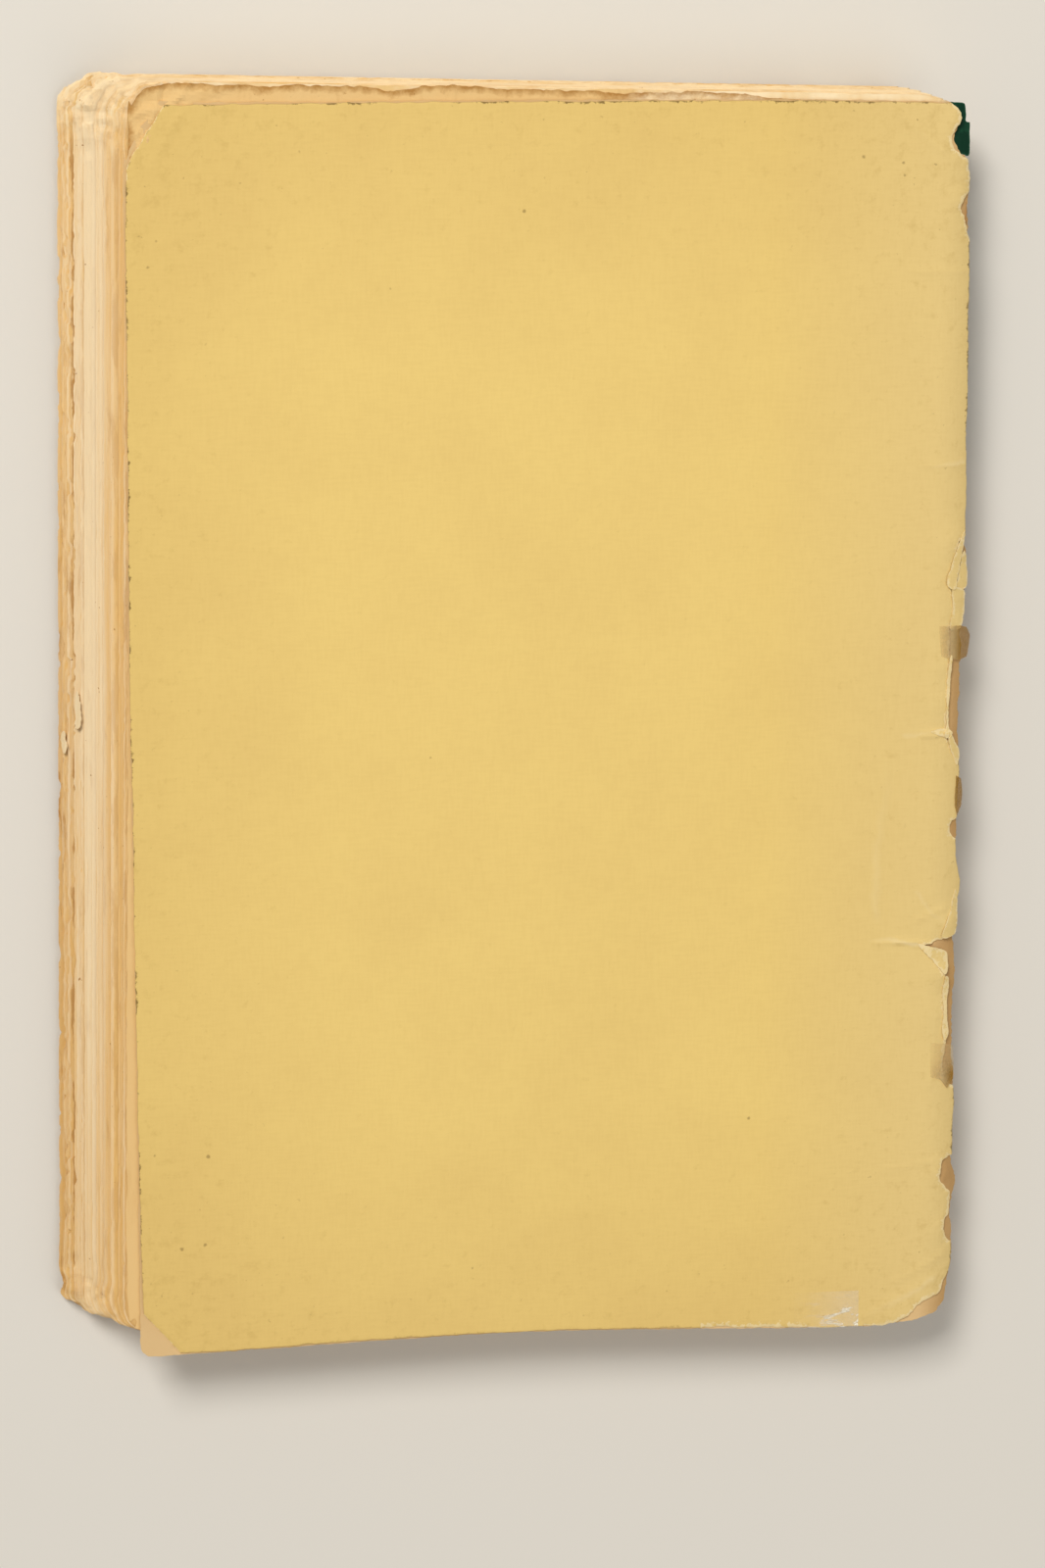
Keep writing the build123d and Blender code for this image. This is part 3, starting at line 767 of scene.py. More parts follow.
# The remains of the spine cloth: dark green book cloth over the lining, worn back from
# its upper edge, with threads pulled out along every torn side.
CLOTH_GREEN = "#083422"
CLOTH_WORN = "#1A5238"
CLOTH_THREAD = 0.45
CLOTH_END_GAP = 5.6
CLOTH_TOP = BLOCK_TOP - 2.4
CLOTH_TONGUES = ((80.2, 5.6), (65.8, 5.8), (52, 6))
TONGUE_TOP = 13.9
green_cloth, tree, place = new_finish("dark_green_book_cloth")
threads = []
for stretch in ((1, 0.2, 0.2), (0.2, 1, 1)):
    thread = add(tree, "Mapping", {"Vector": place, "Scale": [value / CLOTH_THREAD for value in stretch]})
    threads.append(add(tree, "TexNoise", [thread, 1, 1]))
weave = add(tree, "ADD", threads)
rubbing = add(tree, "TexNoise", [place, 1 / 3, 5])
rubbed = add(tree, "MapRange", [rubbing, 0.55, 0.75])
edge = add(tree, "Attribute", attribute_name="rim_wear").outputs["Fac"]
worn_cloth = add(tree, "MAXIMUM", [rubbed, edge])
cloth_colour = add(tree, "Mix", [worn_cloth, CLOTH_GREEN, CLOTH_WORN])
surfaced(tree, {"Base Color": cloth_colour, "Roughness": 0.7, "Specular IOR Level": 0.15}, weave, 0.7, 0.12)

cloth_tail = LEAF_MIDDLE - LEAF_HEIGHT / 2 + CLOTH_END_GAP
cloth_head = LEAF_MIDDLE + LEAF_HEIGHT / 2 - 2 * CLOTH_END_GAP
cloth_corners = [(LINING_BOTTOM, cloth_tail), (CLOTH_TOP, cloth_tail)]
for middle, length in CLOTH_TONGUES[::-1]:
    cloth_corners += [(CLOTH_TOP, middle - length / 2), (TONGUE_TOP, middle - length / 2),
                      (TONGUE_TOP, middle + length / 2), (CLOTH_TOP, middle + length / 2)]
cloth_corners += [(CLOTH_TOP, cloth_head), (LINING_BOTTOM, cloth_head)]
cloth_rim = frayed(straight_sides(cloth_corners, 0.45), 0.35, 2.4, 41)
cloth_rim[:, 0] = np.maximum(cloth_rim[:, 0], LINING_BOTTOM)
spine_cloth = spine_strip("green_spine_cloth", cloth_rim,
                          FOLD_CROWN + LINING_THICKNESS + CLOTH_THICKNESS - 0.05, CLOTH_THICKNESS - 0.1)
reshaped(spine_cloth, lambda points: placed(skewed(points)), green_cloth)
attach(spine_cloth, "text_block")
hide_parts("spine_cloth")


# The back cover: yellow card with a fine linen grain, its spine edge rolled down over the
# shoulder. Its edges are dark where they were cut, with dirt and painted shade of the gap beneath them, and
# show pale fibre where they tore.
CARD_THICKNESS = 0.35
LINER_THICKNESS = 0.25
COVER_THICKNESS = CARD_THICKNESS + LINER_THICKNESS
# The rim's key points are told as they lie in the plane of the cover's top when seen from the
# camera, in stretches: how the edge came about, and its points.
CARD_RIM = (
    ("cut", ((-76, 101), (-76.25, 90), (-76.35, 60), (-76.6, 30), (-76.65, 5), (-76.4, -12),
             (-76.55, -25), (-76.4, -50), (-76.3, -80), (-76, -100), (-75.8, -106.3))),
    ("creased", ((-75.8, -106.3), (-69.2, -113.9))),
    ("cut", ((-69.2, -113.95), (-60, -113.9), (-50, -113.6), (-40, -113.2), (-20, -112.8), (0, -112.7),
             (20, -113.2), (29, -113.55))),
    ("scuffed", ((29, -113.55), (33, -113.6), (36, -113.9), (40, -114), (45, -114.2), (50, -114.5))),
    ("cut", ((50, -114.5), (60.5, -114.65))),
    ("torn", ((60.5, -114.65), (66, -114.1), (69, -113), (70.5, -111.2), (72.6, -110.1), (75.1, -108.3),
              (75.5, -107), (76.2, -105.6))),
    ("cut", ((76.2, -105.6), (77, -103), (77.1, -98.5))),
    ("torn", ((77.1, -98.5), (75.9, -97.2), (75.6, -94.5), (76.6, -93), (76.8, -88.8))),
    ("torn", ((76.8, -88.8), (75.4, -87.6), (74.6, -86.3), (74.9, -83.6), (75.6, -82.2), (76.9, -81.6))),
    ("cut", ((76.9, -81.6), (76.9, -76), (77.1, -70), (76.9, -68.4))),
    ("torn", ((76.9, -68.4), (75.2, -66.4), (74.7, -63.5), (75.2, -60.5), (75, -56), (74.7, -52),
              (75.1, -47.6), (74.5, -46), (73, -43.4), (70.6, -41))),
    ("torn", ((70.6, -41), (72.8, -40), (75.4, -39.2), (76.4, -38))),
    ("cut", ((76.4, -38), (76.6, -33), (77.3, -29), (76.5, -25), (76.2, -20.6))),
    ("torn", ((76.2, -20.6), (75.1, -19.6), (75.2, -17.4), (76.3, -16.5))),
    ("cut", ((76.3, -16.5), (76.4, -12), (76.6, -7), (76.4, -4.2))),
    ("torn", ((76.4, -4.2), (75.2, -3), (74.3, -1.2), (74.2, 3), (74.6, 8), (74.4, 11.5), (74.1, 15),
              (74.5, 19.6), (75.2, 23), (74.6, 26.4), (73.9, 27.4), (74.6, 30.5), (75.4, 34.6),
              (76.7, 36.2))),
    ("cut", ((76.7, 36.2), (76.8, 45), (76.5, 55), (76.6, 62), (76.5, 73), (76.4, 80), (76.3, 90))),
    ("torn", ((76.3, 90), (75.3, 93.8), (74.6, 95), (74.3, 96), (75.2, 97.8), (76.1, 98.8), (75.9, 102),
              (75.6, 104.6), (74.7, 105.4), (73.2, 106.6), (72.7, 107.9), (73.2, 109.8), (74.1, 111.2),
              (74.2, 112.4), (73.5, 113.6), (72.3, 114.6))),
    ("cut", ((72.3, 114.6), (66, 114.7), (50, 115), (20, 115), (0, 114.9), (-20, 114.8),
             (-50, 114.5), (-69.3, 114.2))),
    ("worn", ((-69.3, 114.2), (-70.6, 112), (-71.6, 110.5), (-73.6, 107.3), (-74.8, 105.9), (-75.8, 103),
              (-76, 101))),
)
CARD_SAG = 0.09
# How far each kind of edge frays, and how far it shows fibre.
EDGES = {"cut": (0.1, 0), "worn": (0.12, 0.3), "scuffed": (0.16, 1.4), "torn": (0.26, 1),
         "creased": (0.03, 0.2)}


def rolled_height(x, depth=0):
    """How high a layer stands at this place across the cover, this far below its outer face."""
    radius = ROLL_RADIUS - depth
    over = np.clip(np.asarray(x, float) - ROLL_START, 0, radius - 0.5)
    return ROLL_CENTRE + np.sqrt(radius**2 - over**2)


def under_sight(points):
    """Moves points read in the plane of the cover's top to where they lie on the lower, rolled face."""
    points = np.asarray(points, float)
    lower = (COVER_TOP - rolled_height(points[:, 0]))[:, None]
    return points + (points - CAMERA_SPOT[:2]) * lower / CAMERA_SPOT[2]


def rim_of(stretches, seed):
    """The frayed rim of a cover sheet, with how far each of its points is torn, not cut."""
    paths = [smooth_path(points, 0.4) for edge, points in stretches]
    kinds = [[EDGES[edge]] * len(path) for (edge, points), path in zip(stretches, paths)]
    fray, torn = np.concatenate(kinds).T
    return frayed(under_sight(np.concatenate(paths)), fray, 2.2, seed), torn


# Faint ridges pressed into the card by the sewing cords, and the folds of its damage:
# from, to, height and width.
CARD_RIDGES = (
    ((66, 84.5), (76.5, 84.3), 0.1, 0.8), ((68, 49), (76.5, 49.2), 0.1, 0.8),
    ((69.5, -0.9), (74.6, -0.7), 0.3, 0.6), ((61, -40.3), (66, -39.9), 0.16, 0.5),
    ((65.5, -39.9), (73, -40.8), 0.35, 0.6), ((62.6, -6), (61, -34), 0.1, 0.9),
    ((64, -84), (75.5, -82.5), 0.1, 0.7), ((62.5, 113), (71, 106), 0.14, 0.8),
    ((66.5, -106), (76, -101), 0.14, 0.7), ((60.5, -112.6), (74, -105.8), 0.12, 0.9),
    ((-75.8, -106.3), (-69.2, -113.9), -0.12, 0.5), ((-72, 103), (-66.5, 112.5), 0.1, 0.7),
    ((69, -36), (75.4, -33.5), 0.16, 0.6), ((72.6, -60), (72.4, -68), 0.1, 0.6),
)
# Corners and flaps that lift off: middle, reach and height.
CARD_LIFTS = (
    ((74.4, -46.5), 2.2, 0.5), ((75.4, 35), 3, 0.45), ((73.8, 5), 3, 0.3), ((73.6, 12), 2.5, 0.3),
    ((75.4, -96), 2.2, 0.3), ((73.8, 111), 2.2, 0.3), ((74.8, -54), 2.6, 0.25), ((75, -85), 2, 0.35),
    ((75.4, -36.5), 2.2, 0.45), ((74.6, 97.5), 2, 0.3), ((-70.6, 112), 3, 0.15), ((66.5, -112.6), 3.5, 0.3),
)


def warp(points):
    """How the cover's face stands above its true roll: slow waves, ridges and lifted flaps."""
    rise = CARD_SAG * (ripple(points, 38, 51) + 0.4 * ripple(points, 13, 52))
    for start, end, height, width in CARD_RIDGES:
        gap, share = to_line(points, start, end)
        rise += height * np.exp(-((gap / width) ** 2)) * (0.6 + 0.4 * share)
    for middle, reach, height in CARD_LIFTS:
        gap = np.linalg.norm(points - middle, axis=1)
        rise += height * np.exp(-((gap / reach) ** 2))
    return rise


def card_top(points, nearest, gap):
    """The yellow face, thinned to fibre along its torn rim and rounded over where it was cut."""
    torn = card_torn[nearest]
    thinned = 0.17 * torn * np.exp(-gap / 0.45) + 0.04 * (1 - torn) * np.clip(1 - gap / 0.35, 0, 1)
    fluff = 0.06 * torn * np.clip(1 - gap / 1.2, 0, 1) * ripple(points, 0.9, 56)
    return rolled_height(points[:, 0]) + warp(points) - thinned + fluff


card_rim, card_torn = rim_of(CARD_RIM, 53)
finer_zones = [((58.5, -115.5), (78.5, 116), 0.75), ((-77.5, 96), (-60, 115.5), 0.8),
               ((-77.5, -115), (-64, -100), 0.8)]
back_card = sheet("yellow_back_card", card_rim, ((0.28, 1), (0.7, 2), (1.3, 3)), 3, card_top,
                  CARD_THICKNESS, {"torn": card_torn}, finer_zones)

# Cover card: calendered, then embossed with a linen grain, which is drawn a little coarser
# than real so that it shows. Handling has dulled it, and dirt, with painted shade of the gap beneath, sits
# along its cut edges.
CARD_YELLOW = "#EFCF7C"
CARD_GREYED = "#E3C173"
CARD_RUBBED = "#E8CC8A"
CARD_DIRT = "#6B4F1F"
CARD_SMUDGE = "#BC9A4E"
CARD_FIBRE = "#F0D9A4"
LINEN_THREAD = 0.5
# Spots on the face: place and radius in millimetres.
CARD_SPOTS = (
    ((56.4, 105.1), 0.3), ((-5.4, 95.6), 0.3), ((-29.4, 82), 0.22), ((-22.3, -3), 0.2),
    ((-63.6, -76.6), 0.4), ((-68.6, -94), 0.36), ((-64.4, -93.4), 0.3), ((37.6, -73), 0.24),
    ((63.7, 104), 0.2), ((64, 101.7), 0.2), ((-14.6, -100), 0.18), ((-73.4, -76), 0.24),
    ((-70.9, 90.6), 0.2), ((-72.4, 86), 0.24),
)
# Creases that have cracked the yellow and show paler, with a painted highlight along each: from, to, width
# and strength.
CARD_CREASES = (
    ((59.5, -40.2), (71.4, -40.6), 0.65, 0.75), ((62.8, -6), (61.4, -34), 1.2, 0.2),
    ((60.5, -112.4), (73.6, -106.2), 0.8, 0.35), ((75.4, -38), (69, -31), 0.6, 0.25),
    ((69.2, 48.8), (76.5, 49.2), 0.6, 0.4), ((73.6, -0.6), (66, -0.9), 0.6, 0.3),
)
yellow_card, tree, place = new_finish("linen_embossed_cover_card")
parts = add(tree, "SeparateXYZ", [place]).outputs
grain = []
for stretch in ((1, 0.16, 1), (0.16, 1, 1)):
    thread = add(tree, "Mapping", {"Vector": place, "Scale": [value / LINEN_THREAD for value in stretch]})
    grain.append(add(tree, "TexNoise", [thread, 1, 2]))
linen = add(tree, "ADD", grain)
# Handling has greyed the card towards its edges, and rubbed it paler where it rolls over the spine.
wear = []
for axis, start, end in (("X", 40, 82), ("Y", 70, 120)):
    off_middle = add(tree, "ABSOLUTE", [parts[axis]])
    wear.append(add(tree, "MapRange", [off_middle, start, end, 0, 0.7]))
edge_wear = add(tree, "ADD", wear)
cloud = add(tree, "TexNoise", [place, 1 / 20, 6, 0.62])
clouds = add(tree, "MapRange", [cloud, 0.4, 0.7, 0, 0.3])
handled = add(tree, "ADD", [edge_wear, clouds], use_clamp=True)
face = add(tree, "Mix", [handled, CARD_YELLOW, CARD_GREYED])
spine_side = add(tree, "MapRange", [parts["X"], 40, 74, 0, 0.75])
rubbed_face = add(tree, "Mix", [spine_side, face, CARD_RUBBED])
# Smudges gather near the edges, drawn out along the grain.
smudge_noise = add(tree, "TexNoise", [place, 1 / 2.6, 6, 0.72])
smudge_wear = add(tree, "MULTIPLY_ADD", [edge_wear, 0.12, smudge_noise])
smudged = add(tree, "MapRange", [smudge_wear, 0.62, 0.84, 0, 0.35])
smudged_face = add(tree, "Mix", [smudged, rubbed_face, CARD_SMUDGE])
grained = add(tree, "MapRange", [linen, 0.86, 1.2, 0, 0.065])
grain_dirt = add(tree, "Mix", [grained, smudged_face, CARD_SMUDGE])
# Dirt and painted shade of the gap under the edge in broken dashes along the cut edges, pale fibre of
# uneven width along the torn ones.
gap, tear = (add(tree, "Attribute", attribute_name=key).outputs["Fac"] for key in ("rim_gap", "torn"))
speckle = add(tree, "TexNoise", [place, 0.8, 5, 0.75])
dash_reach = add(tree, "MapRange", [speckle, 0.42, 0.7, -0.1, 0.6])
# Some stretches of the edge are dark with dirt and painted shade, and others nearly clean.
stretches = add(tree, "TexNoise", [place, 1 / 9, 3])
stretch_reach = add(tree, "MapRange", [stretches, 0.4, 0.6, -0.35, 0.12])
dirt_and_shade_reach = add(tree, "ADD", [dash_reach, stretch_reach])
least_dirt_and_shade = add(tree, "MAXIMUM", [dirt_and_shade_reach, 0.07])
dash_gap = add(tree, "SUBTRACT", [least_dirt_and_shade, gap])
dashes = add(tree, "MapRange", [dash_gap, -0.05, 0.2, 0, 0.8])
uncut = add(tree, "MapRange", [tear, 0, 0.5, 1, 0])
# The tail edge is rubbed clean where the book has stood on it.
standing = add(tree, "MapRange", [parts["Y"], -110.5, -106, 0.3])
cut_edge = add(tree, "MULTIPLY", [uncut, standing])
dirt_and_gap_shade = add(tree, "MULTIPLY", [dashes, cut_edge])
edged = add(tree, "Mix", [dirt_and_gap_shade, grain_dirt, CARD_DIRT])
fluff = add(tree, "TexNoise", [place, 0.9, 6, 0.75])
fibre_width = add(tree, "MapRange", [fluff, 0.35, 0.68, -0.2, 1.2])
fibre_reach = add(tree, "MULTIPLY", [fibre_width, tear])
fibre_gap = add(tree, "SUBTRACT", [fibre_reach, gap])
fibre = add(tree, "MapRange", [fibre_gap, -0.02, 0.12, 0, 0.85])
colour = add(tree, "Mix", [fibre, edged, CARD_FIBRE])
# Each crease is painted paler along a ragged line: partly cracked card, partly a painted highlight along
# the crease.
for start, end, width, strength in CARD_CREASES:
    run = Vector(end) - Vector(start)
    direction = (0, 0, math.atan2(run.y, run.x))
    on_crease = add(tree, "Mapping", [place, (*start, 0), direction, (run.length, 1, 1)],
                    vector_type="TEXTURE")
    crease_parts = add(tree, "SeparateXYZ", [on_crease]).outputs
    wander = add(tree, "MapRange", [stretches, 0.3, 0.7, -0.9, 0.9])
    across = add(tree, "ADD", [crease_parts["Y"], wander])
    off_crease = add(tree, "ABSOLUTE", [across])
    ragged_off = add(tree, "MULTIPLY_ADD", [speckle, 0.5, off_crease])
    line = add(tree, "MapRange", [ragged_off, 0.25 + width, 0.2, 0, strength])
    begun = add(tree, "MapRange", [crease_parts["X"], 0, 0.7])
    ended = add(tree, "MapRange", [crease_parts["X"], 1.1, 1])
    along = add(tree, "MULTIPLY", [begun, ended])
    painted_highlight = add(tree, "MULTIPLY", [line, along])
    colour = add(tree, "Mix", [painted_highlight, colour, CARD_FIBRE])
for (x, y), radius in CARD_SPOTS:
    from_spot = add(tree, "VectorMath", [place, (x, y, COVER_TOP)], operation="DISTANCE")
    ragged = add(tree, "ADD", [from_spot, speckle])
    spot = add(tree, "MapRange", [ragged, radius + 0.6, radius + 0.35, 0, 0.5])
    colour = add(tree, "Mix", [spot, colour, CARD_DIRT])
specks = add(tree, "TexNoise", [place, 1, 2])
speck = add(tree, "MapRange", [specks, 0.73, 0.79, 0, 0.4])
edge_speck = add(tree, "MULTIPLY", [speck, edge_wear], use_clamp=True)
colour = add(tree, "Mix", [edge_speck, colour, CARD_DIRT])
surfaced(tree, {"Base Color": colour, "Roughness": 0.6, "Specular IOR Level": 0.3}, linen, 0.25, 0.07)

reshaped(back_card, placed, yellow_card)
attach(back_card, "back_cover")
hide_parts("back_cover")


# Slivers of card that have peeled at its spine edge, and the flap folded back at the tear: the rim
# as it shows from the camera, the place that still holds, how far the other end lifts, and how far
# pale fibre reaches in from the rim.
CARD_SLIVERS = (
    (((76.6, 37), (75.3, 34), (74.2, 30.4), (73.4, 27.2), (74.9, 26.3), (75.4, 28.4), (76, 32)),
     (76.5, 36.5), 0.4, 0.6),
    (((76.5, 33.4), (77.1, 31.4), (77.3, 27.2), (76.2, 26.2), (75.2, 26.5), (75.8, 29.6)),
     (77, 29), 0.2, 0.5),
    (((74.5, 26.5), (76.8, 25.8), (76.7, 21), (76, 19), (74.2, 19), (74.7, 22.5)), (75.4, 19.6), 0.25, 0.6),
    (((74.6, 14), (74, 11.4), (73.8, 6), (73.9, 1.2), (73.5, -0.9), (74.4, -1.1), (74.2, 4), (74.5, 9)),
     (73.8, 6), 0.25, 0.9),
    (((71, -0.2), (73, -1.1), (74.6, -1.5), (74.9, -0.3), (73.4, 0.3)), (73, -0.4), 0.2, 1),
    (((75, -1), (75.7, -2.2), (76.5, -4.2), (76.2, -6.6), (75.2, -4.6), (74.4, -2)), (76.2, -6), 0.3, 0.6),
    (((76.4, -30.2), (76.9, -33.6), (76.6, -38.2), (75.2, -39.4), (73.9, -39.2), (74.6, -37),
      (75.6, -33.6)), (76.6, -31.4), 0.22, 0.45),
    (((69.4, -40.5), (72, -41.2), (74.6, -41.8), (75.2, -43.8), (74.7, -46.4), (72.4, -43.9)),
     (74.9, -43.4), 0.4, 1.6),
    (((74.9, -46.8), (75.5, -48.6), (75.2, -53), (75.6, -57.6), (74.9, -59.2), (74.4, -57), (74.6, -53.4),
      (74.3, -50)), (74.7, -53), 0.25, 1.4),
)
SLIVER_THICKNESS = 0.14
for number, (corners, hold, lift, pale) in enumerate(CARD_SLIVERS):
    rim = frayed(under_sight(counter_clockwise(corners, 0.25)), 0.1, 1.1, 201 + 3 * number)

    def sliver_top(points, nearest, gap, hold=hold, lift=lift):
        """On the card where it holds, lifting towards its far end."""
        lying = rolled_height(points[:, 0]) + 0.08 + np.maximum(warp(points), 0)
        standing = lying + 0.06 * ripple(points, 1.1, 231) + lifting(points, hold, lift)
        return np.minimum(standing, COVER_TOP + 0.3)

    sliver = sheet(f"peeled_card_{number + 1}", rim, ((0.22, 1),), 0.45, sliver_top, SLIVER_THICKNESS,
                   {"torn": np.full(len(rim), pale)})
    reshaped(sliver, placed, yellow_card)
    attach(sliver, "back_cover")


# The back cover's liner: tan paper pasted to the inside of the card. It shows where the
# card has torn away, and its own edge has crumbled in other places.
LINER_RIM = (
    ("torn", ((-69.8, 114.9), (-71.7, 112.6), (-73.6, 109.6), (-75.6, 106.4), (-76.5, 102))),
    ("cut", ((-76.5, 102), (-76.4, 60), (-76.7, 20), (-76.5, -30), (-76.4, -80), (-76.5, -106.5),
             (-76.4, -112.4), (-75.5, -114.2), (-74, -114.6), (-69, -114.4))),
    ("cut", ((-69, -114.4), (-50, -113.9), (-20, -113.1), (0, -113), (20, -113.5), (40, -114.3),
             (60, -114.7))),
    ("torn", ((60, -114.7), (68.7, -114.2), (70.5, -113.9), (74, -112.8), (75, -112), (75.9, -110.3),
              (76, -109.3), (76.4, -107))),
    ("torn", ((76.4, -107), (77.2, -103), (77.2, -98), (76.8, -93), (77.2, -89.4), (77.9, -87),
              (77.3, -85.2), (76.8, -82), (76.6, -75), (77, -68), (76.5, -63), (76.4, -55),
              (76.5, -45), (76.2, -39), (76.4, -30), (76.3, -20), (76.1, -10), (76.4, 0),
              (76.2, 8), (76.5, 14), (76.3, 20), (76.8, 25), (77.2, 27.5), (77, 33), (76.2, 36))),
    ("cut", ((76.2, 36), (76.2, 60), (76.1, 88))),
    ("torn", ((76.1, 88), (75.9, 95), (76.1, 100), (75.5, 104.9), (74.4, 105.9), (73, 107.9),
              (73.4, 110), (74.3, 111.6), (74, 113), (72.4, 114.8))),
    ("cut", ((72.4, 114.8), (50, 115.2), (20, 115.2), (-20, 115), (-50, 114.7), (-69.8, 114.9))),
)


def liner_top(points, nearest, gap):
    """The liner's upper face, against the underside of the card."""
    return rolled_height(points[:, 0], CARD_THICKNESS + 0.02) + np.clip(warp(points), -0.08, 0.1)


LINER_TAN = "#DFBB84"
LINER_BROWN = "#B88E55"
back_liner = sheet("tan_back_liner", rim_of(LINER_RIM, 63)[0], ((0.3, 1), (1.2, 3)), 2.6, liner_top,
                   LINER_THICKNESS)
tan_liner, tree, place = new_finish("pasted_tan_paper")
stain = add(tree, "TexNoise", [place, 1 / 26, 6, 0.6])
parts = add(tree, "SeparateXYZ", [place]).outputs
spine_side = add(tree, "MapRange", [parts["X"], 71, 76, 0, 0.75])
patchy = add(tree, "MapRange", [stain, 0.42, 0.75, 0, 0.35])
brown = add(tree, "ADD", [patchy, spine_side], use_clamp=True)
liner_colour = add(tree, "Mix", [brown, LINER_TAN, LINER_BROWN])
rough = add(tree, "TexNoise", [place, 1.8, 6])
surfaced(tree, {"Base Color": liner_colour, "Roughness": 0.8}, rough, 0.5, 0.08)
reshaped(back_liner, placed, tan_liner)
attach(back_liner, "back_cover")
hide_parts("back_liner")


# The scrap of spine cloth that laps the block's shoulder at the head, bare where the
# cover's corner is bitten away.
LAP_RIM = ((76.1, 111.2), (75.3, 111.4), (75.3, 113), (75, 114.5), (73.4, 114.7), (71.8, 114.2),
           (71.4, 109), (71.8, 105.9), (74.9, 105.5), (76.1, 105.3), (76.15, 108), (76.1, 111.2))
lap_rim = frayed(under_sight(smooth_path(LAP_RIM, 0.3)), 0.06, 1.4, 71)
cloth_lap = sheet("green_cloth_lap", lap_rim, ((0.3, 1),), 0.9,
                  lambda points, nearest, gap: rolled_height(points[:, 0], COVER_THICKNESS + 0.15)
                  + 0.05 * ripple(points, 1.6, 72), CLOTH_THICKNESS - 0.1)
reshaped(cloth_lap, placed, green_cloth)
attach(cloth_lap, "text_block")


# The back joint: a strip of tan paper pasted inside the cover's roll and down over the
# spine. It has broken away towards the head, where the green cloth shows instead.
JOINT_THICKNESS = 0.08
BACK_JOINT_ENDS = (-109, 45)


def joint_paper(name, profile, ends, seed, finish):
    """A pasted strip that follows a profile of (across, height, share of the block's skew)."""
    profile = np.array(profile, float)
    steps = np.linalg.norm(np.diff(profile[:, :2], axis=0), axis=1)
    run = np.concatenate([[0], np.cumsum(steps)])
    corners = ((0, ends[0]), (run[-1], ends[0]), (run[-1], ends[1]), (0, ends[1]))
    rim = frayed(straight_sides(corners, 0.6), 0.35, 2.6, seed)
    rim[:, 0] = np.clip(rim[:, 0], 0, run[-1])
    points, faces, on_rim = filled(rim, ((0.3, 2),), 0.7)
    across, height, share = (np.interp(points[:, 0], run, column) for column in profile.T)
    along = points[:, 1]
    across = across - share * along * math.sin(SKEW)
    strip = new_piece(name, np.column_stack([across, along, height]), faces)
    thicken(strip, JOINT_THICKNESS, 0)
    return reshaped(strip, placed, finish)


cloth_face = FOLD_CROWN + LINING_THICKNESS + CLOTH_THICKNESS + 0.1
back_profile = [(x, float(rolled_height(x, COVER_THICKNESS + 0.1)), 0) for x in (73, 74, 75, 75.8)]
back_profile += [(76.2, 13.2, 0.2), (75.6, 12.5, 0.6)]
back_profile += [(off_spine(height, cloth_face), height, 1) for height in (11.6, 10.8, 10)]
back_joint = joint_paper("back_joint_paper", back_profile, BACK_JOINT_ENDS, 75, tan_liner)
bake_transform(back_joint)


# The clear patch: glossy film folded over the tail edge of the back cover, with trapped
# air, and creases painted white as glints.
PATCH_SPAN = (46.9, 59.3)
PATCH_TOP = -107.5
PATCH_TURN_IN = 1.5
FILM_THICKNESS = 0.05
FILM_WHITE = "#FBF3DC"
TAIL_EDGE = -114.6
film, tree, place = new_finish("clear_tape_film")
film_wrinkles = add(tree, "TexNoise", {"Vector": place, "Scale": 0.7, "Detail": 3, "Distortion": 1.2})
# Creases are painted white as glints, mostly where the film bends over the tail edge.
parts = add(tree, "SeparateXYZ", [place]).outputs
bent = add(tree, "MapRange", [parts["Y"], -109, -113.5, 0.15, 1.2])
crease_place = add(tree, "Mapping", {"Vector": place, "Rotation": (0, 0, -0.4), "Scale": (0.35, 1, 1)})
crease_noise = add(tree, "TexNoise", {"Vector": crease_place, "Scale": 0.7, "Detail": 3, "Distortion": 0.8})
painted_highlight = add(tree, "MapRange", [crease_noise, 0.54, 0.66])
glint_crease = add(tree, "MULTIPLY", [painted_highlight, bent])
rightward = add(tree, "MapRange", [parts["X"], 49, 58, 0.05])
glint_there = add(tree, "MULTIPLY", [glint_crease, rightward])
film_cover = add(tree, "MULTIPLY_ADD", [rightward, 0.14, glint_there])
surfaced(tree, {"Base Color": FILM_WHITE, "Alpha": film_cover, "Roughness": 0.12}, film_wrinkles, 0.9, 0.4)

fold_under = COVER_TOP - COVER_THICKNESS - 0.05
# The film's run in y and z: along the face, round the tail edge and in under it.
patch_profile = [(PATCH_TOP + step, COVER_TOP + 0.04) for step in np.arange(0, -6.6, -0.6)]
patch_profile += [(TAIL_EDGE + 0.1, COVER_TOP + 0.02), (TAIL_EDGE - 0.08, COVER_TOP - 0.2),
                  (TAIL_EDGE - 0.08, fold_under + 0.15), (TAIL_EDGE + 0.1, fold_under - 0.05),
                  (TAIL_EDGE + PATCH_TURN_IN, fold_under - 0.05)]
patch_columns = np.arange(PATCH_SPAN[0], PATCH_SPAN[1] + 0.01, 0.62)
patch_points = np.array([(x, y, z) for y, z in patch_profile for x in patch_columns])
on_top = patch_points[:, 2] > COVER_TOP
rise = warp(patch_points[:, :2]) + 0.05 * np.abs(ripple(patch_points, 1.8, 81))
patch_points[:, 2] += np.where(on_top, rise, 0.3 * rise)
columns = len(patch_columns)
patch_faces = [(k, k + columns, k + columns + 1, k + 1)
               for row in range(len(patch_profile) - 1)
               for k in range(row * columns, (row + 1) * columns - 1)]
clear_patch = new_piece("clear_tape_patch", patch_points, patch_faces)
thicken(clear_patch, FILM_THICKNESS, 1)
reshaped(clear_patch, placed, film)
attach(clear_patch, "back_cover")
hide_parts("clear_tape")


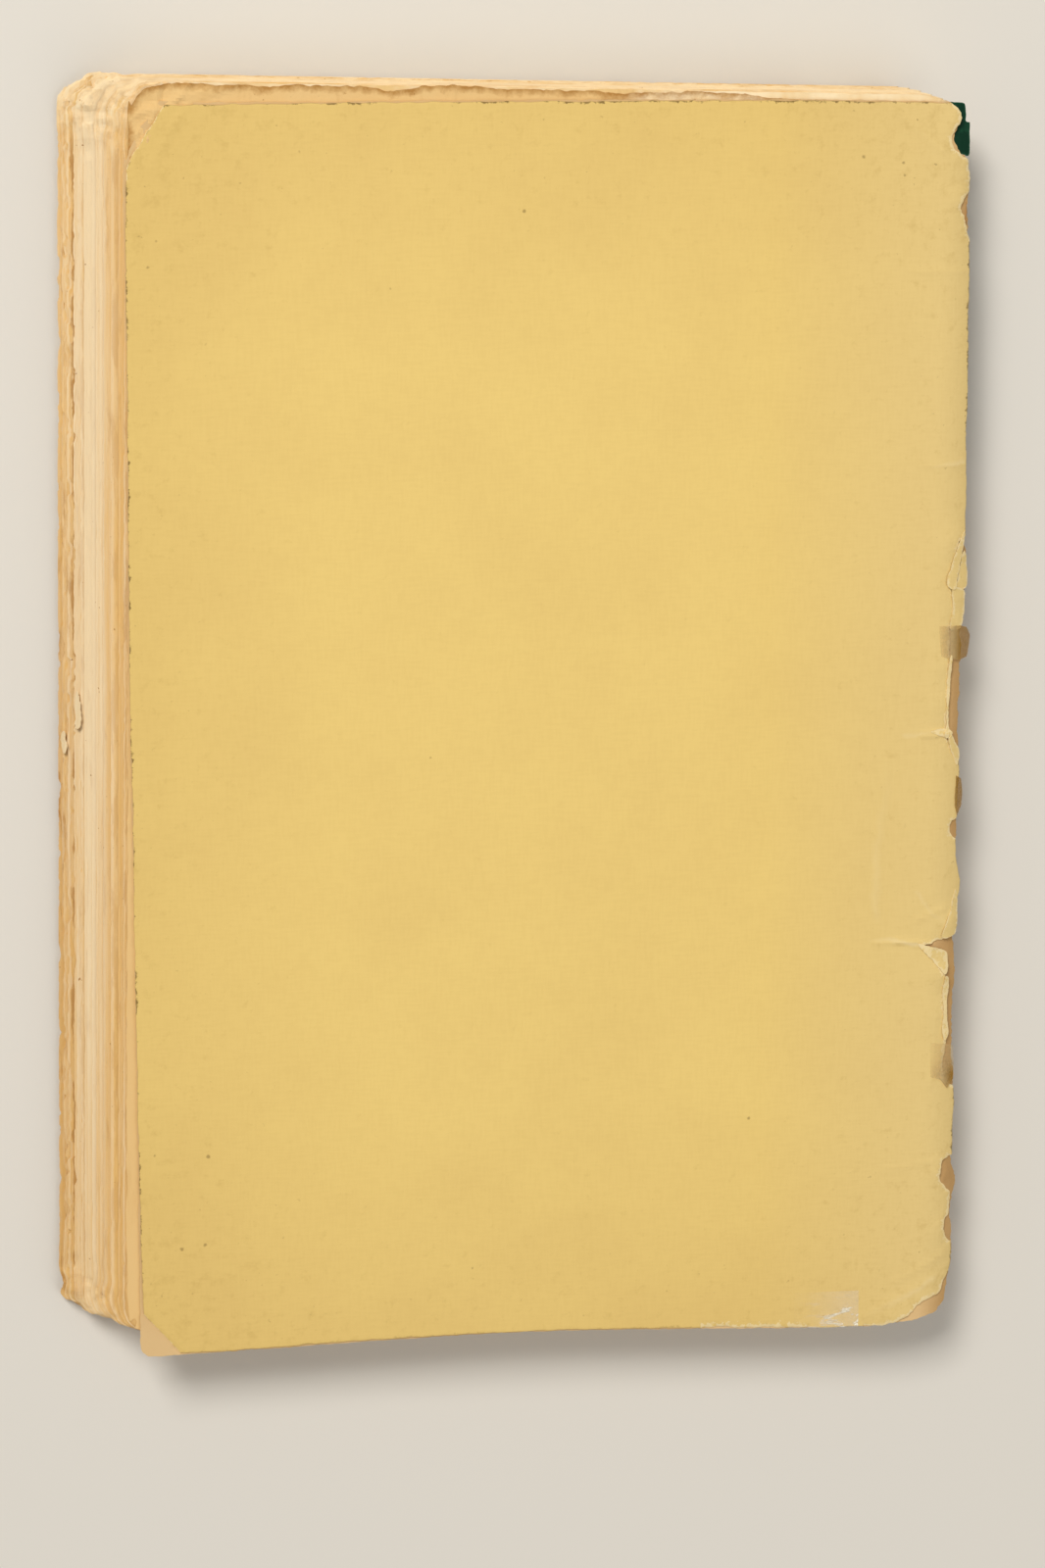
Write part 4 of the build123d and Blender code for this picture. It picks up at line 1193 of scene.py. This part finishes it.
# The old tapes: cellulose film whose glue has gone amber and brittle. It has shrunk and
# wrinkled over the roll, and snapped off at the joint.
# Each tape's corners, as they show from the camera.
OLD_TAPE_RIMS = {
    "old_tape_upper": ((72.2, 19.4), (76.6, 19.5), (77.4, 19.2), (78.1, 17.6), (77.8, 15), (77.5, 13.6),
                       (76.2, 13.1), (72.6, 13.8)),
    "old_tape_middle": ((76, -8.6), (76.9, -9.2), (77.3, -11.6), (77.2, -14), (76.4, -16.2), (75.9, -14.2)),
    "old_tape_lower": ((72.1, -59.5), (76.5, -60.2), (76.8, -64), (76.7, -66.8), (75.6, -68.5),
                       (74.2, -66.8), (72.3, -66.2)),
}
TAPE_CLEAR = "#DFC48C"
TAPE_AMBER = "#A87A1A"
old_film, tree, place = new_finish("amber_cellulose_tape")
parts = add(tree, "SeparateXYZ", [place]).outputs
# The film is amber where it hangs past the card, but the lowest one only at its tail corner.
past_card, upper_tapes, tail_corner = (
    add(tree, "MapRange", [parts[axis], start, end])
    for axis, start, end in (("X", 74.8, 76.8), ("Y", -50, -49), ("Y", -62.5, -66)))
kept_amber = add(tree, "MAXIMUM", [upper_tapes, tail_corner])
ambered = add(tree, "MULTIPLY", [past_card, kept_amber])
amber = add(tree, "Mix", [ambered, TAPE_CLEAR, TAPE_AMBER])
on_card = add(tree, "MapRange", [parts["X"], 72, 75.4, 0.04, 0.5])
shrunk = add(tree, "TexNoise", {"Vector": place, "Scale": 1.6, "Detail": 3, "Distortion": 0.8})
clearer = add(tree, "MapRange", [kept_amber, 0, 1, 0.35])
film_alpha = add(tree, "MULTIPLY", [on_card, clearer])
surfaced(tree, {"Base Color": amber, "Alpha": film_alpha, "Roughness": 0.4, "Specular IOR Level": 0.2},
         shrunk, 1, 0.3)
for number, (name, corners) in enumerate(OLD_TAPE_RIMS.items()):
    rim = frayed(under_sight(straight_sides(corners[::-1], 0.3)), 0.07, 1.1, 91 + number)
    flake = sheet(f"{name}_film", rim, ((0.25, 1),), 0.7,
                  lambda points, nearest, gap, number=number: rolled_height(points[:, 0], -0.06) + 0.05
                  + np.maximum(warp(points), 0) + 0.1 * np.abs(ripple(points, 0.9, 95 + number)),
                  FILM_THICKNESS)
    reshaped(flake, placed, old_film)
    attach(flake, "back_cover")
    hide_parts(name)


# The front cover and its liner, the same card and tan paper, cut like the leaves. The
# book lies on it, so its face is worn flat and its fore corners are rounded.
FRONT_INSET = 1.4
FRONT_CORNER = 8.5
FRONT_JOINT_ENDS = (-104, 108)
front_edge = off_spine(BLOCK_BOTTOM, cloth_face - 0.1)
front_low_x = front_edge - (2 * SPINE_EDGE - FRONT_INSET)
front_head = LEAF_MIDDLE + (LEAF_HEIGHT - FRONT_INSET) / 2
front_tail = LEAF_MIDDLE - (LEAF_HEIGHT - FRONT_INSET) / 2
front_rim = fore_side(front_low_x, front_head, front_tail, FRONT_CORNER, FRONT_CORNER, 0.6)
front_rim += spaced((front_low_x + FRONT_CORNER, front_tail), (front_edge, front_tail), 0.6)
front_rim += spaced((front_edge, front_tail), (front_edge, front_head), 0.6)
front_rim += spaced((front_edge, front_head), (front_low_x + FRONT_CORNER, front_head), 0.6)
layers = (
    ("yellow_front_card", "front_cover", CARD_THICKNESS, CARD_THICKNESS, yellow_card, "yellow_card", 101),
    ("tan_front_liner", "front_liner", COVER_THICKNESS, LINER_THICKNESS, tan_liner, "tan_liner", 103),
)
for name, node, top, thickness, finish, slot, seed in layers:
    rim = frayed(np.array(front_rim), 0.08, 2.4, seed)
    layer = sheet(name, rim, ((0.3, 1), (1.2, 3)), 6,
                  lambda points, nearest, gap, top=top: np.full(len(points), top), thickness)
    reshaped(layer, lambda points: placed(skewed(points)), finish)
    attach(layer, "front_cover")
    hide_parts(node)

front_profile = [(front_edge - inward, COVER_THICKNESS + 0.08, 1) for inward in (5, 3.5, 2, 0.8)]
front_profile += [(front_edge + 0.1, COVER_THICKNESS + 0.12, 1)]
front_profile += [(off_spine(height, cloth_face), height, 1) for height in (1, 1.8, 2.6, 3.4)]
front_joint = joint_paper("front_joint_paper", front_profile, FRONT_JOINT_ENDS, 77, kraft)
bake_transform(front_joint)


# The stage: a plain pale floor, soft studio light from above the head of the book, and the
# camera where the photograph was taken from.
FLOOR_SIZE = 1.2
FLOOR_GREY = "#E2DDD4"
KEY_WHITE = "#FFFDF9"
FILL_WHITE = "#FFFCF6"
STUDIO_WHITE = "#F4F2EE"
STUDIO_GLOW = 0.29
CAMERA_TURN = (-10.5598, -8.3961, 0.1590)
CAMERA_LENS = 93.6
pale_floor, tree, place = new_finish("pale_floor")
surfaced(tree, {"Base Color": FLOOR_GREY, "Roughness": 0.9})
floor_corners = [(x * FLOOR_SIZE, y * FLOOR_SIZE, 0) for x, y in ((-1, -1), (1, -1), (1, 1), (-1, 1))]
floor = new_piece("floor", floor_corners, [(0, 1, 2, 3)])
floor.data.materials.append(pale_floor)


def soft_light(name, spot, size, power, colour):
    """A square soft light that faces the middle of the book."""
    light = bpy.data.lights.new(name, "AREA")
    light.size = size
    light.energy = power
    light.color = linear(colour)[:3]
    lamp = new_object(name, light)
    lamp.location = spot
    lamp.rotation_euler = (-Vector(spot)).to_track_quat("-Z", "Y").to_euler()


soft_light("key", (-0.7, 1.15, 1.55), 0.7, 30, KEY_WHITE)
soft_light("fill", (1, -0.75, 1.6), 1.4, 11, FILL_WHITE)
world = bpy.data.worlds.new("studio")
world.use_nodes = True
background = world.node_tree.nodes["Background"]
background.inputs["Color"].default_value = linear(STUDIO_WHITE)
background.inputs["Strength"].default_value = STUDIO_GLOW
bpy.context.scene.world = world
bpy.context.scene.view_settings.view_transform = "Standard"

camera = new_object("camera", bpy.data.cameras.new("camera"))
camera.location = placed(CAMERA_SPOT) + np.array((0, 0, COVER_TOP * MM))
camera.rotation_euler = Euler([math.radians(angle) for angle in CAMERA_TURN], "XYZ")
camera.data.lens = CAMERA_LENS
camera.data.sensor_width = 36.0
bpy.context.scene.camera = camera
